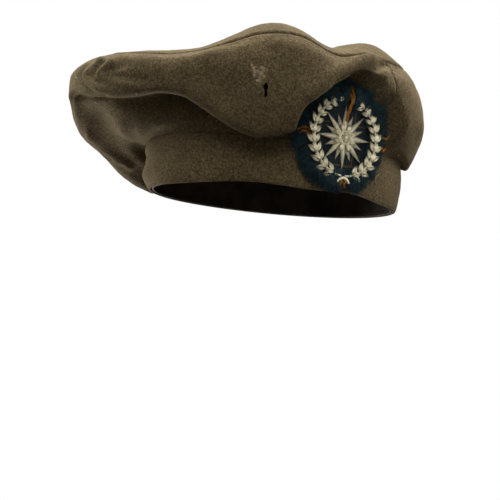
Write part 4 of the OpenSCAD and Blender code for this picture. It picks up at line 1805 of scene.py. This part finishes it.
@dataclass
class Badge:
    """The struck badge: two leafy branches round a star, of no real order or maker."""

    seat: Seat
    metal: Material
    star_back: float = 2.4
    ring_back: float = 3.6
    ring_r: float = 27.6
    ring_from: float = math.radians(17)
    ring_turn: float = math.radians(148)
    ring_foot: float = 0.2
    ring_full: float = 0.97
    stem_points: int = 29
    stem_h: float = 0.9
    stem_r: Pair = (1.0, 0.6)
    pairs: int = 10
    pair_from: float = 0.1
    pair_less: float = 0.25
    pair_leaves: tuple[tuple[int, float, float, float], ...] = (
        (1, 0.66, 1.0, 0.0), (-1, 0.74, 0.92, 0.15), (1, 0.1, 0.8, 0.8))
    pair_stray: float = 0.08
    pair_seed: int = 3
    berry_turn: float = 0.11
    berry_off: Pair = (-1.5, 1.6)
    berry_h: float = 2.3
    berry_r: float = 0.95
    top_leaf: float = 0.8
    tie_half: float = 5.2
    tie_drop: Pair = (1.2, 3.4)
    tie_h: Pair = (1.6, 0.5)
    tie_r: Pair = (1.35, 0.9)
    tie_run: tuple[float, float, int] = (-0.5, 1.0, 9)
    tie_wave: float = 3.0
    star_r: float = 24.0
    star_crest: Pair = (2.4, 1.9)
    star_short: float = 0.74
    star_edge: Pair = (0.7, 0.55)
    valley_r: float = 7.5
    rays: int = 8
    boss: tuple[Pair, ...] = (
        (5.2, 0.3), (5.2, 2.5), (4.8, 3.0), (4.3, 3.0), (3.9, 2.5), (2.9, 2.5), (1.3, 2.7),
        (1.1, 3.6), (0.7, 4.0), (0.0, 4.1))
    boss_steps: int = 48
    boss_leaves: tuple[tuple[float, float, float], ...] = ((4.6, 0.62, 1.3), (0.7, 0.4, 2.3))
    beads: int = 16
    bead_r: float = 0.6
    bead_at: Pair = (6.0, 2.7)
    leaf_l: float = 9.6
    leaf_w: float = 2.0
    leaf_blunt: float = 0.8
    leaf_tip: float = 0.1
    leaf_rib: float = 0.7
    leaf_curl: Pair = (0.9, 0.4)
    leaf_h: float = 0.5
    metal_t: float = 1.2
    relief_h: float = 2.4
    sharp: float = math.radians(32)

    def build(self) -> list[Piece]:
        """Make the leaf ring and the star.

        Returns:
            The pieces.
        """
        return [self.finish("badge_ring", self.branches(), self.ring_back, "badge_wreath"),
                self.finish("badge_star_struck", self.star(), self.star_back, "badge_star")]

    def finish(self, name: str, bm: Mesh, back: float, node: str) -> Piece:
        """Note each point's relief, set the piece on its seat and dress it.

        Args:
            name: The piece's name.
            bm: Its mesh in the badge's frame, in millimetres.
            back: Height of its back.
            node: The CAD node that it stands for.

        Returns:
            The piece.
        """
        bmesh.ops.recalc_face_normals(bm, faces=bm.faces)
        layer = bm.verts.layers.float.new("relief")
        for vert in bm.verts:
            x, y, h = vert.co
            vert[layer] = min(max(h / self.relief_h, 0.0), 1.0)
            vert.co = Vector(self.seat.flat(np.array(x), np.array(y), np.array(h + back)) * MM)
        piece = make_piece(name, bm, self.metal, node)
        piece.data.set_sharp_from_angle(angle=self.sharp)
        return piece

    def leaf(self, bm: Mesh, place: Pair, turn: float, size: float, lift: float) -> None:
        """Add one ridged leaf.

        Args:
            bm: The mesh.
            place: Where its stalk starts.
            turn: Which way it points, in radians.
            size: Its share of the full size.
            lift: Height of its stalk.
        """
        made = bmesh.ops.create_grid(bm, x_segments=8, y_segments=4, size=0.5)["verts"]
        for vert in made:
            u, v = vert.co.x + 0.5, vert.co.y * 2
            half = self.leaf_w * size * math.sin(math.pi * min(u ** self.leaf_blunt, 1.0)) + self.leaf_tip
            rib = self.leaf_rib * abs(1 - 2 * abs(abs(v) - 0.5)) if abs(v) < 1 else 0.0
            curl = self.leaf_curl[0] * math.sin(math.pi * u) - self.leaf_curl[1] * u
            vert.co = (self.leaf_l * size * u, v * half, lift + self.leaf_h + rib + curl)
        sunk = extrude(bm, made)
        for vert in sunk:
            vert.co.z = max(vert.co.z - self.metal_t, 0.0)
        bmesh.ops.transform(bm, verts=made + sunk, matrix=Matrix.Translation((*place, 0.0))
                            @ Matrix.Rotation(turn, 4, "Z"))

    def branches(self) -> Mesh:
        """Shape two branches that rise from a tie at the foot.

        Returns:
            The mesh in the badge's frame, in millimetres.
        """
        bm = bmesh.new()
        draw = random.Random(self.pair_seed)
        foot, last = -math.pi / 2, self.stem_points - 1
        for hand in (-1, 1):
            quarter = hand * math.pi / 2
            turns = [foot + hand * (self.ring_from * self.ring_foot + self.ring_turn * k / last)
                     for k in range(self.stem_points)]
            self.rod(bm, [Vector((*polar(self.ring_r, a), self.stem_h)) for a in turns], *self.stem_r)
            for k in range(self.pairs):
                share = (k + self.pair_from) / self.pairs
                a = foot + hand * (self.ring_from + self.ring_turn * share * self.ring_full)
                size = 1.0 - self.pair_less * (k / self.pairs) ** 2
                for side, lean, part, lift in self.pair_leaves:
                    stray = draw.uniform(-self.pair_stray, self.pair_stray)
                    turn = a + quarter - hand * side * (lean + stray)
                    self.leaf(bm, polar(self.ring_r, a), turn, size * part, lift)
                for off in self.berry_off if k % 2 == 0 else ():
                    spot = polar(self.ring_r + off, a + hand * self.berry_turn)
                    self.bead(bm, spot, self.berry_h, self.berry_r)
            top = foot + hand * (self.ring_from + self.ring_turn * self.ring_full)
            self.leaf(bm, polar(self.ring_r, top), top + quarter, self.top_leaf, 0.0)
        down, sag = self.tie_drop
        low, arch = self.tie_h
        for hand in (-1, 1):
            tie = [Vector((hand * self.tie_half * t, -self.ring_r - down - sag * t * t,
                           low + arch * math.sin(self.tie_wave * t))) for t in np.linspace(*self.tie_run)]
            self.rod(bm, tie, *self.tie_r)
        return bm

    @staticmethod
    def bead(bm: Mesh, place: Pair, high: float, radius: float) -> None:
        """Add a small round bead."""
        bmesh.ops.create_icosphere(bm, subdivisions=1, radius=radius,
                                   matrix=Matrix.Translation((*place, high)))

    @staticmethod
    def rod(bm: Mesh, path: list[Vector], root: float, tip: float) -> None:
        """Add a tapering round rod along a path.

        Args:
            bm: The mesh.
            path: The points that it follows.
            root: Its radius at the first point.
            tip: Its radius at the last point.
        """
        last = len(path) - 1
        rings = []
        for k, spot in enumerate(path):
            along = path[min(k + 1, last)] - path[max(k - 1, 0)]
            turn = along.to_track_quat("Z", "Y").to_matrix().to_4x4()
            ring = bmesh.ops.create_circle(bm, segments=8, radius=root + (tip - root) * k / last,
                                           cap_ends=k in (0, last),
                                           matrix=Matrix.Translation(spot) @ turn)["verts"]
            rings.append(list({e for v in ring for e in v.link_edges}))
        for a, b in zip(rings, rings[1:]):
            bmesh.ops.bridge_loops(bm, edges=a + b)

    def star(self) -> Mesh:
        """Shape the faceted star with its leafy, beaded boss.

        Returns:
            The mesh in the badge's frame, in millimetres.
        """
        bm = bmesh.new()
        tips = (self.star_r, self.star_r * self.star_short)
        for tip, crest, turn in zip(tips, self.star_crest, (0.0, 0.5)):
            made = bmesh.ops.create_circle(bm, segments=2 * self.rays, radius=1.0, cap_ends=True,
                                           cap_tris=True)["verts"]
            hub = [v for v in made if v.co.length < 0.5]
            rim = [v for v in made if v.co.length >= 0.5]
            for vert in rim:
                a = math.atan2(vert.co.y, vert.co.x)
                odd = round(a / math.tau * 2 * self.rays) % 2
                a += turn * math.tau / self.rays + math.pi / 2
                vert.co = (*polar((tip, self.valley_r)[odd], a), self.star_edge[odd])
            for vert in hub:
                vert.co = (0, 0, crest)
            for vert in extrude(bm, made):
                vert.co.z = 0.0
        spin_line(bm, [(r, 0, z) for r, z in self.boss], self.boss_steps, merge=1e-4)
        for k in range(self.rays):
            a = math.tau * (k + 0.5) / self.rays + math.pi / 2
            for r, size, lift in self.boss_leaves:
                self.leaf(bm, polar(r, a), a, size, lift)
        r, high = self.bead_at
        for k in range(self.beads):
            self.bead(bm, polar(r, math.tau * (k + 0.5) / self.beads), high, self.bead_r)
        return bm


@dataclass
class Fixings:
    """The wire loops and the split pin, which keep their CAD shapes."""

    copper: Material
    brass: Material

    def build(self) -> list[Piece]:
        """Give each CAD node its metal.

        Returns:
            The nodes' own objects.
        """
        made = []
        for name, metal in (("lug_upper", self.copper), ("lug_lower", self.copper),
                            ("split_pin", self.brass)):
            node = frame["nodes"][name]
            node.data.materials.clear()
            node.data.materials.append(metal)
            made.append(node)
        return made


@dataclass
class Lint:
    """Stray threads that cling to the cloth, placed by line of sight."""

    sight: Sight
    lint: Material
    wool: Material
    curls: tuple[Pixels, ...] = (
        ((379, 174), (375.5, 177), (374.5, 181), (376, 184)),
        ((376, 191), (377.4, 192.4), (376.2, 193.6)),
        ((136, 92.6), (137.2, 94.2)), ((95.4, 102), (96.8, 103.4)), ((76, 77.2), (77.4, 78.6)),
        ((398.2, 154.6), (399.4, 155.8)))
    frays: tuple[Pixels, ...] = (
        ((252, 66), (256, 65.4), (260, 66.4)), ((264, 66.6), (267, 66), (268.4, 68.5)),
        ((254, 77.5), (256, 78.6), (258, 78)), ((266.6, 76), (265.6, 78.4)))
    thick: float = 0.55
    taper: float = 0.6
    curl_lift: float = 0.35
    fray_lift: float = 0.3
    steps: int = 4

    def on_cloth(self, path: Pixels, lift: float) -> Array | None:
        """Drop a line of pixels on whatever they show.

        Args:
            path: The pixels.
            lift: How far above the surface it lies.

        Returns:
            The points in millimetres, or None where a pixel shows nothing.
        """
        spots = []
        graph = bpy.context.evaluated_depsgraph_get()
        pixels = np.array(path)
        share = np.linspace(0, len(path) - 1, self.steps * (len(path) - 1) + 1)
        for s in share:
            pixel = [np.interp(s, range(len(path)), pixels[:, k]) for k in (0, 1)]
            start, along = self.sight.ray((pixel[0], pixel[1]))
            hit, spot, normal, *_ = bpy.context.scene.ray_cast(graph, start, along)
            if not hit:
                return None
            spots.append(np.array(spot) / MM + np.array(normal) * lift)
        return np.array(spots)

    def build(self) -> list[Piece]:
        """Lay every thread that has cloth under it.

        Returns:
            The pieces.
        """
        bpy.context.view_layer.update()
        made = []
        for name, paths, lift, finish in (("lint_threads", self.curls, self.curl_lift, self.lint),
                                          ("frayed_threads", self.frays, self.fray_lift, self.wool)):
            runs = [run for run in (self.on_cloth(p, lift) for p in paths) if run is not None]
            if runs:
                made.append(make_strands(name, runs, self.thick, finish, self.taper))
        return made


@dataclass(frozen=True)
class Paper(Finish):
    """Matt white paper, which hides where it is seen from below."""

    white: str = "#f2f2f0"
    tooth_mm: float = 4.0

    def lay(self, tree: Tree, shader: Node) -> None:
        """Lay out a faint tooth and the clear underside.

        Args:
            tree: The material's nodes.
            shader: The one that they lead to.
        """
        where = add_node(tree, "TexCoord").outputs["Object"]
        tooth = add_node(tree, "TexNoise", {"Vector": where}, {"Scale": per_mm(self.tooth_mm)})
        bump = add_node(tree, "Bump", {"Height": tooth.outputs["Fac"]},
                        {"Strength": 0.05, "Distance": 0.1 * MM})
        join(tree, shader, {"Normal": bump.outputs["Normal"]},
             {"Base Color": linear(self.white), "Roughness": 0.9})
        side = add_node(tree, "NewGeometry")
        clear = add_node(tree, "BsdfTransparent")
        both = add_node(tree, "MixShader", {0: side.outputs["Backfacing"], 1: shader.outputs["BSDF"],
                                            2: clear.outputs["BSDF"]})
        tree.links.new(both.outputs["Shader"], tree.nodes["Material Output"].inputs["Surface"])


@dataclass(frozen=True)
class Lamp:
    """A soft box: where it stands by azimuth, elevation and distance, its size and its power."""

    name: str
    azimuth: float
    elevation: float
    distance: float
    size: float
    power: float


@dataclass
class Studio:
    """The pale floor, the white surround and the soft boxes."""

    floor_r: float = 1.0
    floor_sides: int = 96
    floor_z: float = -0.0003
    ambient: float = 0.26
    ambient_low: float = 0.65
    ambient_from: float = -0.6
    ambient_to: float = 0.5
    sky: str = "#f4f2ee"
    backdrop: str = "#ffffff"
    aim: tuple[float, float, float] = (0.0, 0.0, 0.06)
    lamps: tuple[Lamp, ...] = (
        Lamp("top_box", 216.0, 72.0, 1.3, 1.1, 38.0),
        Lamp("left_box", -78.0, 24.0, 1.4, 1.0, 13.0),
        Lamp("low_left_box", -112.0, -36.0, 1.4, 0.9, 17.0),
        Lamp("right_box", 146.0, 25.0, 1.4, 1.0, 13.0),
        Lamp("front_box", 34.0, 42.0, 1.8, 1.2, 19.0))

    def build(self) -> None:
        """Set the stage and light it."""
        bm = bmesh.new()
        bmesh.ops.create_circle(bm, segments=self.floor_sides, radius=self.floor_r, cap_ends=True,
                                matrix=Matrix.Translation((0, 0, self.floor_z)))
        mesh = bpy.data.meshes.new("floor")
        bm.to_mesh(mesh)
        bm.free()
        floor = bpy.data.objects.new("floor", mesh)
        mesh.materials.append(Paper("matt paper").make())
        bpy.context.scene.collection.objects.link(floor)
        floor.visible_diffuse = False
        floor.visible_shadow = False
        for lamp in self.lamps:
            self.hang(lamp)
        self.surround()
        bpy.context.scene.view_settings.view_transform = "Standard"

    def hang(self, lamp: Lamp) -> None:
        """Hang one soft box.

        Args:
            lamp: Where it hangs, its size and its power.
        """
        data = bpy.data.lights.new(lamp.name, "AREA")
        data.shape, data.size, data.energy = "DISK", lamp.size, lamp.power
        obj = bpy.data.objects.new(lamp.name, data)
        a, e = math.radians(lamp.azimuth), math.radians(lamp.elevation)
        way = Vector((math.sin(a) * math.cos(e), -math.cos(a) * math.cos(e), math.sin(e)))
        turn = way.to_track_quat("Z", "Y").to_matrix().to_4x4()
        obj.matrix_world = Matrix.Translation(Vector(self.aim) + way * lamp.distance) @ turn
        bpy.context.scene.collection.objects.link(obj)

    def surround(self) -> None:
        """Make the surround white to the eye and in reflections, and dimmer as light."""
        world = bpy.data.worlds.new("surround")
        world.use_nodes = True
        tree = world.node_tree
        tree.nodes.clear()
        path = add_node(tree, "LightPath")
        seen = add_node(tree, "Math", {0: path.outputs["Is Camera Ray"], 1: path.outputs["Is Glossy Ray"]},
                        operation="MAXIMUM")
        seen = add_node(tree, "Math", {0: seen.outputs[0], 1: path.outputs["Is Transmission Ray"]},
                        operation="MAXIMUM")
        way = add_node(tree, "SeparateXYZ", {"Vector": add_node(tree, "TexCoord").outputs["Generated"]})
        level = add_node(tree, "MapRange", {"Value": way.outputs["Z"]},
                         {"From Min": self.ambient_from, "From Max": self.ambient_to,
                          "To Min": self.ambient_low * self.ambient, "To Max": self.ambient})
        dim = add_node(tree, "Background", {"Strength": level.outputs["Result"]},
                       {"Color": linear(self.sky)})
        white = add_node(tree, "Background", inputs={"Color": linear(self.backdrop), "Strength": 1.0})
        both = add_node(tree, "MixShader", {0: seen.outputs[0], 1: dim.outputs[0], 2: white.outputs[0]})
        add_node(tree, "OutputWorld", {"Surface": both.outputs[0]})
        bpy.context.scene.world = world


def main() -> None:
    """Build the bonnet piece by piece, then its stage."""
    logging.basicConfig(level=logging.INFO, format="%(name)s %(message)s")
    low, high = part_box("headband")
    drape = Drape((high.x - low.x) / 2 / MM, (high.y - low.y) / 2 / MM, high.z / MM)
    sight = Sight()
    sight.place()
    seat = Seat(drape)
    wool = WOOL.make()
    crown = Crown(drape, sight, wool)
    band = Band(drape, BAND_WOOL.make(), LEATHER.make())
    for part in (crown, band, Lining(drape, crown, LINING.make()),
                 Stitching(drape, crown, band, THREAD.make()),
                 Patch(seat, crown, PATCH.make(), FRINGE.make(), OCHRE.make()),
                 Badge(seat, WHITE_METAL.make()), Fixings(COPPER.make(), BRASS.make()),
                 Lint(sight, LINT.make(), wool)):
        for piece in part.build():
            LOG.info("%s: %d faces", piece.name, len(piece.data.polygons))
    Studio().build()


if __name__ == "__main__":
    main()
